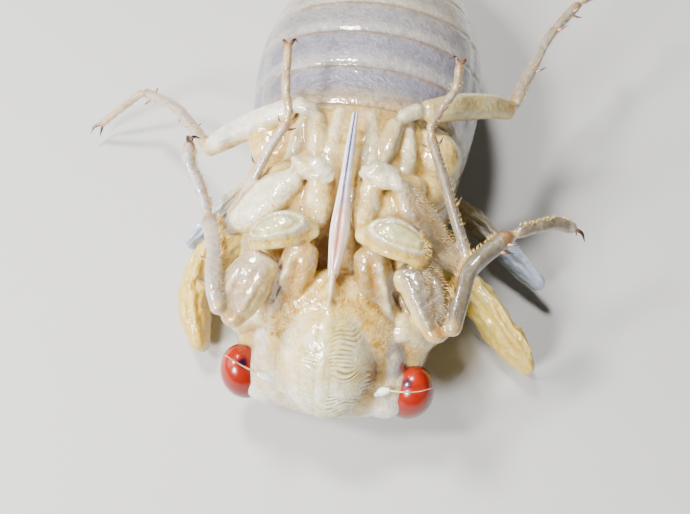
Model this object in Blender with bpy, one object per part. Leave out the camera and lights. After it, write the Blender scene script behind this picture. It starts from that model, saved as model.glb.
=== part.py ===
"""Freshly moulted periodical cicada, life size: soft pale body, red eyes, wings still folded pads.

Everything is drawn in millimetres and scaled to metres at the end. X runs to the animal's right,
Y from the head to the tip of the abdomen and Z up through the belly, so it lies on its back.
"""

import math

import bmesh
import bpy
import numpy as np
from mathutils import Matrix, Vector

# Driving sizes, in millimetres
MM = 0.001
GAP = 0.3
SLIVER_SIZES = (0.02, 0.01, 0.005, 0.002, 0.0005)
FLOOR = 0.0

BODY_LENGTH = 29.2
EYE_SPAN = 7.5
EYE_RADII = (1.05, 1.12, 1.38)
EYE_PLACE = (EYE_SPAN / 2, 1.75, 3.15)
FACE_TOP = Vector((0.0, 0.2, 2.6))
FACE_END = Vector((0.0, 4.3, 8.0))
CLYPEUS_RADII = (2.25, 1.75, 2.85)
CLYPEUS_RIDGES = 7
CLYPEUS_RELIEF = 0.11
ABDOMEN_SEGMENTS = 8
SEGMENT_RELIEF = 0.14
VEINS_ROUND_PAD = 5
VEIN_RELIEF = 0.1
CRUMPLE_RELIEF = 0.07
CLAW_LENGTH = 0.62
TRUNK_SIDES = 24

# The trunk from neck to tail: Y, half width, back, waist, belly. The waist is the widest height.
TRUNK = (
    (2.6, 4.1, 1.25, 3.3, 5.0),
    (3.6, 4.45, 0.8, 3.4, 5.9),
    (5.0, 4.75, 0.3, 3.4, 6.8),
    (6.3, 4.8, 0.1, 3.4, 7.5),
    (8.0, 4.65, -0.12, 3.5, 8.3),
    (10.0, 4.75, -0.12, 3.8, 8.75),
    (12.0, 5.05, 0.15, 4.1, 8.8),
    (14.0, 5.5, 0.3, 4.4, 8.75),
    (16.5, 5.8, 0.05, 4.6, 8.95),
    (19.0, 5.7, -0.12, 4.6, 8.9),
    (21.5, 5.15, 0.1, 4.5, 8.4),
    (24.0, 4.25, 0.6, 4.4, 7.6),
    (26.3, 2.95, 1.4, 4.3, 6.5),
    (28.3, 1.5, 2.5, 4.1, 5.3),
    (BODY_LENGTH, 0.5, 3.3, 3.9, 4.5),
)
NECK = (Vector((0.0, 3.3, 2.6)), Vector((0.0, 0.94, -0.34)))
PROTHORAX_END = 6.2
MESOTHORAX_END = 10.7
METATHORAX_END = 12.8

# Colours as linear red, green and blue
CREAM = (0.80, 0.66, 0.43)
IVORY = (0.83, 0.76, 0.60)
MILKY = (0.72, 0.74, 0.80)
PALE_GREEN = (0.72, 0.72, 0.48)
WING_YELLOW = (0.86, 0.70, 0.33)
EYE_RED = (0.62, 0.05, 0.015)

# Each leg, as X away from the middle, Y and Z of its joints and of the bends between them.
# Each row also gives half width and half depth.
LEGS = {
    "fore_left": {
        "coxa": ((2.25, 3.75, 5.7, 0.75, 0.7), (1.85, 4.35, 6.85, 0.8, 0.7),
                 (1.4, 5.0, 8.0, 0.62, 0.6), (1.2, 5.3, 8.5, 0.5, 0.45)),
        "trochanter": ((1.3, 5.6, 9.35, 0.45, 0.35), (1.95, 5.7, 9.45, 0.7, 0.5),
                       (2.7, 5.62, 9.35, 0.78, 0.52), (3.5, 5.5, 9.15, 0.6, 0.45)),
        "femur": ((2.95, 4.7, 8.45, 0.8, 0.45), (3.35, 3.75, 8.35, 1.02, 0.58),
                  (3.55, 2.75, 8.25, 0.76, 0.55), (3.65, 2.3, 8.2, 0.52, 0.42)),
        "tibia": ((4.2, 2.45, 8.75, 0.34, 0.34), (4.6, 3.45, 8.75, 0.36, 0.38),
                  (4.98, 5.1, 8.3, 0.36, 0.36), (5.55, 6.6, 7.85, 0.42, 0.38)),
        "tarsus": ((5.9, 7.2, 7.8, 0.27, 0.25), (6.2, 7.9, 8.2, 0.25, 0.25),
                   (6.85, 8.9, 8.65, 0.3, 0.28), (6.9, 9.5, 9.1, 0.26, 0.25)),
    },
    "fore_right": {
        "coxa": ((2.35, 4.1, 5.7, 0.75, 0.7), (1.95, 4.55, 6.85, 0.8, 0.7),
                 (1.5, 5.1, 8.0, 0.62, 0.6), (1.3, 5.45, 8.5, 0.5, 0.45)),
        "trochanter": ((1.4, 5.85, 9.35, 0.45, 0.35), (1.95, 5.95, 9.5, 0.72, 0.5),
                       (2.65, 5.95, 9.35, 0.78, 0.52), (3.5, 5.7, 9.1, 0.6, 0.45)),
        "femur": ((3.1, 5.0, 8.45, 0.8, 0.45), (3.7, 4.2, 8.35, 1.04, 0.58),
                  (4.15, 3.15, 8.25, 0.8, 0.55), (4.35, 2.65, 8.2, 0.52, 0.42)),
        "tibia": ((4.95, 2.85, 8.5, 0.34, 0.36), (5.15, 4.0, 8.6, 0.36, 0.38),
                  (5.5, 5.45, 8.65, 0.36, 0.36), (6.75, 6.85, 8.8, 0.42, 0.38)),
        "tarsus": ((7.35, 7.2, 8.9, 0.27, 0.25), (8.0, 7.6, 8.7, 0.26, 0.25),
                   (8.9, 8.1, 8.35, 0.29, 0.28), (9.6, 8.2, 8.0, 0.26, 0.25)),
    },
    "middle_left": {
        "coxa": ((1.0, 6.9, 7.9, 0.55, 0.5), (1.08, 7.4, 8.6, 0.6, 0.5),
                 (1.12, 7.8, 8.9, 0.5, 0.42)),
        "trochanter": ((0.95, 8.78, 9.4, 0.36, 0.34), (1.2, 8.9, 9.5, 0.42, 0.38),
                       (1.75, 8.8, 9.35, 0.38, 0.36)),
        "femur": ((2.3, 8.4, 9.05, 0.5, 0.42), (3.1, 7.95, 8.75, 0.85, 0.62),
                  (3.9, 7.3, 8.15, 0.78, 0.6), (4.75, 6.85, 7.3, 0.4, 0.38)),
        "tibia": ((4.85, 7.35, 7.5, 0.33, 0.33), (4.15, 8.3, 8.3, 0.33, 0.3),
                  (3.4, 9.55, 9.4, 0.3, 0.28), (2.75, 10.5, 10.1, 0.32, 0.3)),
        "tarsus": ((2.7, 10.9, 10.35, 0.26, 0.25), (2.98, 11.9, 10.45, 0.27, 0.26),
                   (3.15, 13.1, 10.55, 0.27, 0.26), (3.26, 14.2, 10.6, 0.25, 0.25)),
    },
    "middle_right": {
        "coxa": ((1.1, 7.1, 7.9, 0.55, 0.5), (1.12, 7.6, 8.6, 0.6, 0.5),
                 (1.1, 7.9, 8.9, 0.5, 0.42)),
        "trochanter": ((1.1, 8.85, 9.4, 0.36, 0.34), (1.35, 9.0, 9.5, 0.42, 0.38),
                       (1.95, 8.95, 9.35, 0.38, 0.36)),
        "femur": ((2.5, 8.5, 8.95, 0.55, 0.42), (3.1, 7.75, 8.6, 0.85, 0.5),
                  (4.0, 6.7, 8.1, 0.75, 0.5), (5.0, 5.95, 7.7, 0.42, 0.38)),
        "tibia": ((5.35, 6.3, 8.0, 0.33, 0.33), (4.9, 7.2, 8.45, 0.33, 0.3),
                  (4.1, 8.9, 9.35, 0.31, 0.28), (3.35, 10.45, 10.15, 0.32, 0.3)),
        "tarsus": ((3.25, 10.85, 10.35, 0.26, 0.25), (3.68, 11.85, 10.45, 0.27, 0.26),
                   (4.15, 12.85, 10.6, 0.27, 0.26), (4.2, 13.9, 10.75, 0.25, 0.25)),
    },
    "hind_left": {
        "coxa": ((1.25, 9.7, 8.2, 0.5, 0.45), (1.45, 10.5, 8.95, 0.55, 0.5),
                 (1.75, 11.5, 9.0, 0.5, 0.45)),
        "trochanter": ((2.0, 12.1, 9.1, 0.42, 0.38), (2.55, 12.3, 9.1, 0.48, 0.42)),
        "femur": ((3.15, 12.1, 8.85, 0.55, 0.45), (4.4, 11.9, 8.1, 0.64, 0.52),
                  (6.0, 11.6, 7.0, 0.6, 0.5), (6.85, 11.45, 6.35, 0.48, 0.42)),
        "tibia": ((7.3, 11.85, 6.05, 0.36, 0.35), (8.3, 13.1, 5.5, 0.33, 0.3),
                  (9.8, 14.8, 4.7, 0.3, 0.28), (11.9, 16.3, 3.6, 0.32, 0.3)),
        "tarsus": ((12.35, 16.5, 3.3, 0.27, 0.26), (13.2, 16.15, 2.7, 0.26, 0.25),
                   (14.2, 15.85, 1.9, 0.27, 0.25), (14.9, 15.65, 1.3, 0.25, 0.25)),
    },
    "hind_right": {
        "coxa": ((1.3, 9.85, 8.2, 0.5, 0.45), (1.5, 10.6, 8.95, 0.55, 0.5),
                 (1.8, 11.6, 9.0, 0.5, 0.45)),
        "trochanter": ((2.1, 12.25, 9.1, 0.42, 0.38), (2.65, 12.6, 9.1, 0.48, 0.42)),
        "femur": ((3.2, 12.8, 8.9, 0.55, 0.45), (4.4, 13.5, 8.5, 0.64, 0.52),
                  (5.9, 14.3, 7.8, 0.6, 0.5), (6.85, 14.7, 7.2, 0.48, 0.42)),
        "tibia": ((7.25, 15.25, 7.1, 0.36, 0.35), (7.9, 17.2, 7.1, 0.36, 0.32),
                  (8.75, 19.4, 7.3, 0.31, 0.28), (10.0, 21.4, 7.5, 0.32, 0.3)),
        "tarsus": ((10.45, 21.95, 7.5, 0.27, 0.26), (11.1, 22.6, 7.3, 0.26, 0.25),
                   (11.8, 23.4, 6.8, 0.27, 0.25), (12.3, 24.1, 6.2, 0.25, 0.25)),
    },
}

# Wing pads, root to tip: X away from the middle, Y, Z, half height and half thickness
PADS = {
    "forewing_left": ((4.3, 8.9, 3.1, 1.1, 0.5), (5.5, 8.6, 2.7, 1.45, 0.62),
                      (6.6, 7.7, 2.1, 1.7, 0.8), (7.1, 6.2, 1.7, 1.75, 0.88),
                      (7.0, 4.75, 1.55, 1.6, 0.85), (6.55, 3.55, 1.4, 1.1, 0.6)),
    "forewing_right": ((4.3, 8.4, 3.1, 1.1, 0.5), (5.6, 7.9, 2.6, 1.5, 0.6),
                       (6.8, 6.9, 2.0, 1.75, 0.7), (7.9, 5.7, 1.65, 1.72, 0.68),
                       (8.7, 4.85, 1.5, 1.5, 0.6), (9.15, 4.25, 1.35, 1.0, 0.42)),
    "hindwing_left": ((4.7, 11.9, 2.9, 0.8, 0.42), (5.8, 11.2, 2.4, 1.05, 0.5),
                      (6.9, 9.9, 1.9, 1.15, 0.52), (8.0, 8.75, 1.5, 0.8, 0.42)),
    "hindwing_right": ((4.7, 11.8, 2.9, 0.8, 0.42), (6.0, 11.4, 2.4, 1.05, 0.48),
                       (7.9, 10.0, 1.9, 1.15, 0.48), (9.6, 8.65, 1.55, 0.8, 0.38)),
}

# Which way each pair of claws curls
CLAW_CURL = {
    "fore_left": (0.9, -0.4, -0.1), "fore_right": (0.2, -0.5, -0.8),
    "middle_left": (0.1, 0.1, -1.0), "middle_right": (-0.3, 0.1, -1.0),
    "hind_left": (-0.2, -0.7, -0.5), "hind_right": (0.2, -0.2, -1.0),
}

# Spines on the tibiae: place along it from knee to ankle, turn about it in degrees, length
TIBIA_SPINES = {
    "fore_left": ((0.3, 165, 0.42), (0.5, 175, 0.42), (0.97, 20, 0.5), (0.95, 160, 0.4)),
    "fore_right": ((0.97, 60, 0.5), (0.95, 110, 0.5), (0.9, 80, 0.45)),
    "middle_left": ((0.5, 160, 0.45), (0.96, 150, 0.45), (0.96, 30, 0.45)),
    "middle_right": ((0.5, 20, 0.45), (0.96, 150, 0.45), (0.96, 30, 0.45)),
    "hind_left": ((0.35, 60, 0.55), (0.55, 140, 0.55), (0.75, 60, 0.55),
                  (0.96, 20, 0.5), (0.96, 100, 0.5), (0.96, 170, 0.5)),
    "hind_right": ((0.35, 20, 0.55), (0.55, 150, 0.55), (0.75, 20, 0.55),
                   (0.96, 10, 0.5), (0.96, 90, 0.5), (0.96, 170, 0.5)),
}

PART = bpy.data.collections.new("cicada")
CUTTERS = bpy.data.collections.new("cutters")


def clear_scene():
    for item in list(bpy.data.objects):
        bpy.data.objects.remove(item)
    bpy.context.scene.collection.children.link(PART)
    bpy.context.scene.collection.children.link(CUTTERS)


def material(name, colour, roughness):
    made = bpy.data.materials.new(name)
    made.use_nodes = True
    shader = made.node_tree.nodes["Principled BSDF"]
    shader.inputs["Base Color"].default_value = (*colour, 1.0)
    shader.inputs["Roughness"].default_value = roughness
    return made


def new_object(name, bm, collection=None):
    """Object from a bmesh, with its faces turned outwards."""
    bmesh.ops.recalc_face_normals(bm, faces=bm.faces)
    if bm.calc_volume(signed=True) < 0:
        bmesh.ops.reverse_faces(bm, faces=bm.faces)
    mesh = bpy.data.meshes.new(name)
    bm.to_mesh(mesh)
    bm.free()
    made = bpy.data.objects.new(name, mesh)
    (collection or CUTTERS).objects.link(made)
    made.hide_render = collection is None
    made.display_type = "WIRE" if collection is None else "TEXTURED"
    return made


def spline(stations, steps):
    """Rows of a smooth curve through the stations, `steps` rows to each span."""
    rows = [np.array(station, float) for station in stations]
    padded = [2 * rows[0] - rows[1], *rows, 2 * rows[-1] - rows[-2]]
    curve = []
    for before, start, end, after in zip(padded, padded[1:], padded[2:], padded[3:]):
        for step in range(steps):
            t = step / steps
            curve.append(0.5 * (2 * start + (end - before) * t
                                + (2 * before - 5 * start + 4 * end - after) * t * t
                                + (3 * start - before - 3 * end + after) * t ** 3))
    curve.append(rows[-1])
    return curve


def skin_rings(name, rings, start_pole, end_pole):
    """Closed surface over rings of equal count, closed by a fan at each end."""
    bm = bmesh.new()
    loops = [[bm.verts.new(point) for point in ring] for ring in rings]
    for near, far in zip(loops, loops[1:]):
        for i in range(len(near)):
            j = (i + 1) % len(near)
            bm.faces.new((near[i], near[j], far[j], far[i]))
    for loop, pole in ((loops[0], start_pole), (loops[-1], end_pole)):
        tip = bm.verts.new(pole)
        for i in range(len(loop)):
            bm.faces.new((loop[i], loop[(i + 1) % len(loop)], tip))
    return new_object(name, bm)


def limb(name, stations, across, sides=10, steps=3, cap_steps=2, relief=None):
    """Tube of oval section with rounded ends. Stations hold X, Y, Z, half width and half depth."""
    rows = spline(stations, steps)
    centres = [Vector(row[:3]) for row in rows]
    across = Vector(across)
    rings = []

    def ring(centre, tangent, width, depth, along):
        side = (across - tangent * across.dot(tangent)).normalized()
        front = tangent.cross(side)
        points = []
        for k in range(sides):
            angle = 2 * math.pi * k / sides
            swell = relief(along, angle) if relief else 0.0
            points.append(centre + side * math.cos(angle) * (width + swell)
                          + front * math.sin(angle) * (depth + swell))
        return points

    last = len(rows) - 1
    for i, (row, centre) in enumerate(zip(rows, centres)):
        tangent = (centres[min(i + 1, last)] - centres[max(i - 1, 0)]).normalized()
        width, depth = row[3], row[4]
        along = i / last
        cap = [math.pi / 2 * (k + 1) / (cap_steps + 1) for k in range(cap_steps)]
        if i == 0:
            for turn in cap:
                shifted = centre - tangent * depth * math.cos(turn)
                rings.append(ring(shifted, tangent, width * math.sin(turn), depth * math.sin(turn), 0))
            start_pole = centre - tangent * depth
        rings.append(ring(centre, tangent, width, depth, along))
        if i == last:
            for turn in reversed(cap):
                shifted = centre + tangent * depth * math.cos(turn)
                rings.append(ring(shifted, tangent, width * math.sin(turn), depth * math.sin(turn), 1))
            end_pole = centre + tangent * depth
    return skin_rings(name, rings, start_pole, end_pole)


def ellipsoid(name, centre, radii, turn=None, segments=20, rings=12, relief=None):
    """Ball of three radii. `relief` gives a swelling from the unit direction."""
    bm = bmesh.new()
    bmesh.ops.create_uvsphere(bm, u_segments=segments, v_segments=rings, radius=1.0)
    for vert in bm.verts:
        swell = relief(vert.co) if relief else 0.0
        vert.co = Vector([unit * (radius + swell) for unit, radius in zip(vert.co, radii)])
    bm.transform(Matrix.Translation(centre) @ (turn or Matrix.Identity(4)))
    return new_object(name, bm)


def spine(name, root, tip, radius, sides=5):
    """Pointed cone, its foot at `root`."""
    root, tip = Vector(root), Vector(tip)
    bm = bmesh.new()
    length = (tip - root).length
    bmesh.ops.create_cone(bm, cap_ends=True, segments=sides, radius1=radius, radius2=0.0, depth=length)
    bm.transform(Matrix.Translation((0, 0, length / 2)))
    bm.transform((tip - root).to_track_quat("Z", "Y").to_matrix().to_4x4())
    bm.transform(Matrix.Translation(root))
    return new_object(name, bm)


def slab(name, point, normal, size=60.0):
    """Block whose face passes through the point and which fills the side the normal points to."""
    bm = bmesh.new()
    bmesh.ops.create_cube(bm, size=size)
    bm.transform(Matrix.Translation((0, 0, size / 2)))
    bm.transform(Vector(normal).to_track_quat("Z", "Y").to_matrix().to_4x4())
    bm.transform(Matrix.Translation(point))
    return new_object(name, bm)


def grown(shape, amount=GAP):
    """Copy of a shape with every face moved out by the amount."""
    bm = bmesh.new()
    bm.from_mesh(shape.data)
    bm.normal_update()
    moved = [vert.co + vert.normal * amount * min(vert.calc_shell_factor(), 1.6) for vert in bm.verts]
    for vert, place in zip(bm.verts, moved):
        vert.co = place
    return new_object(shape.name + "_grown", bm)


def keep_largest(shape):
    """Leaves only the shell that holds the most volume."""
    bm = bmesh.new()
    bm.from_mesh(shape.data)
    left = set(bm.verts)
    shells = []
    while left:
        shell = {left.pop()}
        edge_of = list(shell)
        while edge_of:
            vert = edge_of.pop()
            for edge in vert.link_edges:
                other = edge.other_vert(vert)
                if other in left:
                    left.discard(other)
                    shell.add(other)
                    edge_of.append(other)
        shells.append(shell)

    def volume(shell):
        faces = {face for vert in shell for face in vert.link_faces}
        total = 0.0
        for face in faces:
            first = face.verts[0].co
            for a, b in zip(face.verts[1:], face.verts[2:]):
                total += first.dot(a.co.cross(b.co)) / 6
        return abs(total)

    keep = max(shells, key=volume)
    drop = [vert for vert in bm.verts if vert not in keep]
    bmesh.ops.delete(bm, geom=drop, context="VERTS")
    bm.to_mesh(shape.data)
    bm.free()


def combine(target, pieces, operation, solver="MANIFOLD"):
    """Applies one Boolean of the target with all the pieces, then removes them."""
    if not pieces:
        return target
    tools = bpy.data.collections.new(target.name + "_tools")
    bpy.context.scene.collection.children.link(tools)
    for piece in pieces:
        tools.objects.link(piece)
    modifier = target.modifiers.new("join", "BOOLEAN")
    modifier.operation = operation
    modifier.operand_type = "COLLECTION"
    modifier.collection = tools
    modifier.solver = solver
    graph = bpy.context.evaluated_depsgraph_get()
    made = bpy.data.meshes.new_from_object(target.evaluated_get(graph))
    target.modifiers.clear()
    target.data = made
    for piece in pieces:
        bpy.data.objects.remove(piece)
    bpy.data.collections.remove(tools)
    keep_largest(target)
    return target


def fuse(target, pieces):
    return combine(target, pieces, "UNION")


def carve(target, pieces):
    return combine(target, pieces, "DIFFERENCE")


def drop_slivers(shape):
    """Collapses the very short edges that cuts leave, as far as the surface stays closed."""
    for size in SLIVER_SIZES:
        bm = bmesh.new()
        bm.from_mesh(shape.data)
        bmesh.ops.dissolve_degenerate(bm, dist=size, edges=bm.edges)
        bmesh.ops.triangulate(bm, faces=bm.faces)
        closed = all(edge.is_manifold for edge in bm.edges)
        if closed:
            bm.to_mesh(shape.data)
        bm.free()
        if closed:
            return


def settle(shape, colour, roughness=0.4):
    """Makes a finished shape a node of the part, in metres."""
    drop_slivers(shape)
    CUTTERS.objects.unlink(shape)
    PART.objects.link(shape)
    shape.hide_render = False
    shape.display_type = "TEXTURED"
    shape.data.transform(Matrix.Scale(MM, 4))
    shape.data.materials.clear()
    shape.data.materials.append(material(shape.name + "_finish", colour, roughness))
    shape.data.shade_smooth()
    shape.data.set_sharp_from_angle(angle=math.radians(40))
    return shape


def mirrored(stations, side):
    """Stations with X turned to the side, -1 for the animal's left."""
    return [(side * row[0], *row[1:]) for row in stations]


def face_frame():
    """Turn whose Z runs down the face from crown to beak and whose Y points out of it."""
    down = (FACE_END - FACE_TOP).normalized()
    across = Vector((-1.0, 0.0, 0.0))
    out = down.cross(across)
    return Matrix((across, out, down)).transposed().to_4x4()


def trunk_piece(name, rows, relief=None):
    """Stretch of the trunk with an oval section at each Y of the rows."""
    table = np.array(spline(TRUNK, 8))
    rings = []
    for y in rows:
        half, back, waist, belly = (np.interp(y, table[:, 0], table[:, k]) for k in range(1, 5))
        ring = []
        for k in range(TRUNK_SIDES):
            angle = 2 * math.pi * k / TRUNK_SIDES
            c, s = math.cos(angle), math.sin(angle)
            swell = relief(y, angle) if relief else 0.0
            height = (belly - waist) if s > 0 else (waist - back)
            raised = abs(s) ** 0.9 * (1 if s > 0 else -1)
            ring.append(Vector(((half + swell) * c, y, waist + (height + swell) * raised)))
        rings.append(ring)
    middles = [sum(ring, Vector()) / len(ring) for ring in (rings[0], rings[-1])]
    return skin_rings(name, rings, middles[0], middles[1])


def even_rows(start, end, count):
    return [start + (end - start) * i / count for i in range(count + 1)]


def segment_edges():
    """Y of the edges between the segments of the abdomen, which shorten towards the tail."""
    start, end = METATHORAX_END + GAP / 2, BODY_LENGTH - 0.9
    return [start + (end - start) * (i / ABDOMEN_SEGMENTS) ** 0.93 for i in range(ABDOMEN_SEGMENTS + 1)]


def make_abdomen():
    """Rings that each stand a little proud of the next, with a short pointed tail."""
    edges = segment_edges()
    rows = [edges[0]]
    for edge in edges[1:]:
        rows += [edge - SEGMENT_RELIEF, edge]
    rows += [BODY_LENGTH - 0.3, BODY_LENGTH]

    def steps(y, angle):
        return -SEGMENT_RELIEF if y in edges[1:] else 0.0

    return trunk_piece("abdomen", rows, steps)


def make_eyes():
    eyes = []
    for side, name in ((-1, "eye_left"), (1, "eye_right")):
        place = (side * EYE_PLACE[0], EYE_PLACE[1], EYE_PLACE[2])
        tilt = Matrix.Rotation(math.radians(side * 14), 4, "Y") @ Matrix.Rotation(math.radians(-20), 4, "X")
        eyes.append(ellipsoid(name, place, EYE_RADII, tilt, 16, 10))
    return eyes


def clypeus_middle():
    return FACE_TOP.lerp(FACE_END, 0.45) + face_frame().to_3x3().col[1] * -0.15


def make_clypeus():

    def ridges(unit):
        """Fine cross ridges to both sides of a groove down the middle."""
        across, out, down = unit
        if out < 0.05:
            return 0.0
        chevron = down + 0.35 * abs(across)
        side = min(1.0, abs(across) / 0.22) * min(1.0, max(0.0, 1.0 - abs(down)) / 0.25)
        wave = 0.5 + 0.5 * math.cos(math.pi * CLYPEUS_RIDGES * chevron)
        groove = -0.7 * math.exp(-(across / 0.08) ** 2)
        return CLYPEUS_RELIEF * (wave * side + groove) * min(1.0, out / 0.3)

    return ellipsoid("postclypeus", clypeus_middle(), CLYPEUS_RADII, face_frame(), 20, 28, ridges)


def head_forms(extra=0.0):
    """Crown first, then face, cheeks, brows and lora, each with its radii grown by `extra`."""
    turn = face_frame()
    forms = [("head", (0, 2.0, 3.2), (4.1, 1.8, 1.95), None, 18, 10),
             ("face", (0, 3.2, 5.1), (3.0, 1.45, 3.15), turn, 18, 10)]
    for side in (-1, 1):
        forms += [("cheek", (side * 2.5, 2.5, 4.3), (0.85, 0.9, 1.5), turn, 10, 7),
                  ("lorum", (side * 0.95, 3.8, 6.95), (0.6, 0.75, 1.3), turn, 10, 7)]
    return [ellipsoid(name, place, [radius + extra for radius in radii], tilt, segments, rings)
            for name, place, radii, tilt, segments, rings in forms]


def make_head(tools):
    crown, *pieces = head_forms()
    beak_base = [(0, 3.35, 7.5, 0.45, 0.45), (0, 3.8, 8.0, 0.42, 0.42), (0, 4.3, 8.2, 0.38, 0.36)]
    pieces.append(limb("anteclypeus", beak_base, (1, 0, 0), 10, 2))
    fuse(crown, pieces)
    return carve(crown, tools + [slab("behind_head", NECK[0], NECK[1])])


def make_antennae():
    made = []
    routes = {
        "antenna_left": ((-2.0, 1.75, 3.7), (-2.15, 1.25, 4.2), (-2.8, 1.25, 4.55),
                         (-3.6, 1.45, 4.85), (-4.35, 1.75, 5.0), (-5.1, 2.05, 5.0)),
        "antenna_right": ((2.0, 1.75, 3.7), (2.15, 1.2, 4.2), (2.75, 1.25, 4.55),
                          (3.4, 1.2, 4.75), (4.0, 1.25, 4.9), (4.6, 1.45, 5.0)),
    }
    thickness = (0.3, 0.3, 0.26, 0.17, 0.14, 0.09)
    for name, route in routes.items():
        stations = [(*point, r, r) for point, r in zip(route, thickness)]
        made.append(limb(name, stations, (0.3, 0.4, 0.9), 6, 2))
    return made


def make_rostrum():
    """Beak: a wide soft base, then a slim sheath that ends between the hind legs."""
    stations = [(0.0, 4.85, 8.3, 0.34, 0.3), (0.06, 5.5, 8.75, 0.46, 0.34), (0.08, 6.3, 9.15, 0.5, 0.34),
                (0.07, 7.1, 9.45, 0.4, 0.32), (0.05, 8.2, 9.65, 0.27, 0.27),
                (0.04, 9.8, 9.75, 0.25, 0.25), (0.03, 11.5, 9.8, 0.18, 0.18)]
    return limb("rostrum", stations, (1, 0, 0), 8, 2)


def make_pads():
    """Folded wings: soft blades on edge, their veins raised as lengthwise ridges."""
    made = []
    for name, stations in PADS.items():
        side = -1 if name.endswith("left") else 1

        def veins(along, angle):
            """Veins run lengthwise round the pad, and soft cross folds crumple it."""
            fade = math.sin(math.pi * min(1.0, 0.1 + 0.85 * along))
            vein = VEIN_RELIEF * math.cos(VEINS_ROUND_PAD * angle)
            crumple = CRUMPLE_RELIEF * math.sin(2 * math.pi * 2.5 * along + 2 * angle)
            return fade * (vein + crumple)

        pad = limb(name, mirrored(stations, side), (0.0, 0.0, 1.0), 20, 2, 2, veins)
        carve(pad, [slab("floor", (0, 0, FLOOR), (0, 0, -1))])
        made.append(pad)
    return made


def make_leg(leg):
    """The pieces of a leg, root first. Each is hollowed for the rounded end of the next."""
    side = -1 if leg.endswith("left") else 1
    rows = LEGS[leg]
    wide = {"coxa": (1, 0, 0), "trochanter": (0, 1, 0), "femur": (0, 1, 0),
            "tibia": (0.6, 0.6, 0.4), "tarsus": (0.6, 0.6, 0.4)}
    if leg.startswith("fore"):
        wide["femur"] = (1, 0.2, 0)
    pieces = {}
    for part, across in wide.items():
        sides = 10 if part == "femur" else 8
        caps = 1 if part in ("tibia", "tarsus") else 2
        stations = mirrored(rows[part], side)
        pieces[part] = limb(f"{leg}_{part}", stations, across, sides, 2, caps)
        if part == "tibia":
            fuse(pieces[part], tibia_spines(leg, stations, across))
        if part == "tarsus":
            fuse(pieces[part], claws(leg, stations))
    return pieces


def tibia_spines(leg, stations, across):
    """Tapered spines that lean towards the foot, most of them in a comb at the ankle."""
    rows = spline(stations, 6)
    spines = []
    for place, turn, length in TIBIA_SPINES[leg]:
        i = min(round(place * (len(rows) - 1)), len(rows) - 2)
        centre = Vector(rows[i][:3])
        tangent = (Vector(rows[i + 1][:3]) - centre).normalized()
        side = Vector(across)
        side = (side - tangent * side.dot(tangent)).normalized()
        out = Matrix.Rotation(math.radians(turn), 3, tangent) @ side
        root = centre + out * rows[i][4] * 0.55
        tip = centre + out * (rows[i][4] + length * 0.7) + tangent * length * 0.7
        spines.append(spine(f"{leg}_spine", root, tip, 0.13))
    return spines


def claws(leg, stations):
    """Two claws that part at the foot's end and curl over."""
    end, before = Vector(stations[-1][:3]), Vector(stations[-2][:3])
    ahead = (end - before).normalized()
    curl = Vector(CLAW_CURL[leg]).normalized()
    apart = ahead.cross(curl).normalized()
    made = []
    for side in (-1, 1):
        bend = end + ahead * CLAW_LENGTH * 0.65 + apart * side * 0.24 + curl * 0.05
        tip = end + ahead * CLAW_LENGTH * 0.85 + apart * side * 0.32 + curl * 0.42
        route = [(*end, 0.15, 0.15), (*bend, 0.11, 0.11), (*tip, 0.05, 0.05)]
        made.append(limb(f"{leg}_claw", route, apart, 4, 2, 0))
    return made


def clear_leg(pieces, beak):
    """Hollows each piece for the next one along, and the root pieces for the beak."""
    parts = list(pieces.values())
    coxa, trochanter, femur = parts[:3]
    sockets = [[grown(part)] for part in parts[1:]]
    sockets[0] += [grown(femur), grown(beak)]
    sockets[1].append(grown(beak))
    for part, socket in zip(parts, sockets):
        carve(part, socket)


def make_lobes(eyes):
    """Puffy folds of the prothorax that bulge forward beside the head."""
    lobes = []
    for side in (-1, 1):
        rows = [(3.0, 4.6, 6.2, 0.8, 0.8), (3.3, 4.0, 5.5, 0.85, 0.8), (3.85, 3.7, 4.6, 0.7, 0.75),
                (4.2, 4.3, 4.0, 0.6, 0.7)]
        lobe = limb("lobe", mirrored(rows, side), (0, 1, 0), 8, 2)
        lobes.append(carve(lobe, head_forms(GAP) + [grown(eye) for eye in eyes]))
    return lobes


def make_trunk(lobes, roots):
    """Thorax and abdomen, parted by thin cuts and hollowed where legs and wings sink in."""
    half_gap = GAP / 2
    pieces = {
        "pronotum": trunk_piece("pronotum", even_rows(TRUNK[0][0], PROTHORAX_END - half_gap, 4)),
        "mesothorax": trunk_piece("mesothorax", even_rows(PROTHORAX_END + half_gap,
                                                          MESOTHORAX_END - half_gap, 5)),
        "metathorax": trunk_piece("metathorax", even_rows(MESOTHORAX_END + half_gap,
                                                          METATHORAX_END - half_gap, 2)),
        "abdomen": make_abdomen(),
    }
    neck, ahead = NECK
    carve(pieces["pronotum"], [slab("neck", neck + ahead.normalized() * GAP, -ahead)])
    fuse(pieces["pronotum"], lobes)
    for side in (-1, 1):
        folds = [
            ("mesothorax", (side * 3.6, 9.6, 7.2), (0.9, 0.75, 0.9)),
            ("metathorax", (side * 0.6, 11.7, 8.55), (0.32, 0.82, 0.5)),
            ("metathorax", (side * 3.1, 11.7, 7.5), (0.8, 0.7, 0.6)),
        ]
        for name, place, radii in folds:
            fuse(pieces[name], [ellipsoid("fold", place, radii, None, 8, 6)])
    for name, piece in pieces.items():
        tools = [grown(root) for root in roots[name]]
        tools.append(slab("floor", (0, 0, FLOOR), (0, 0, -1)))
        carve(piece, tools)
    return list(pieces.values())


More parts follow.
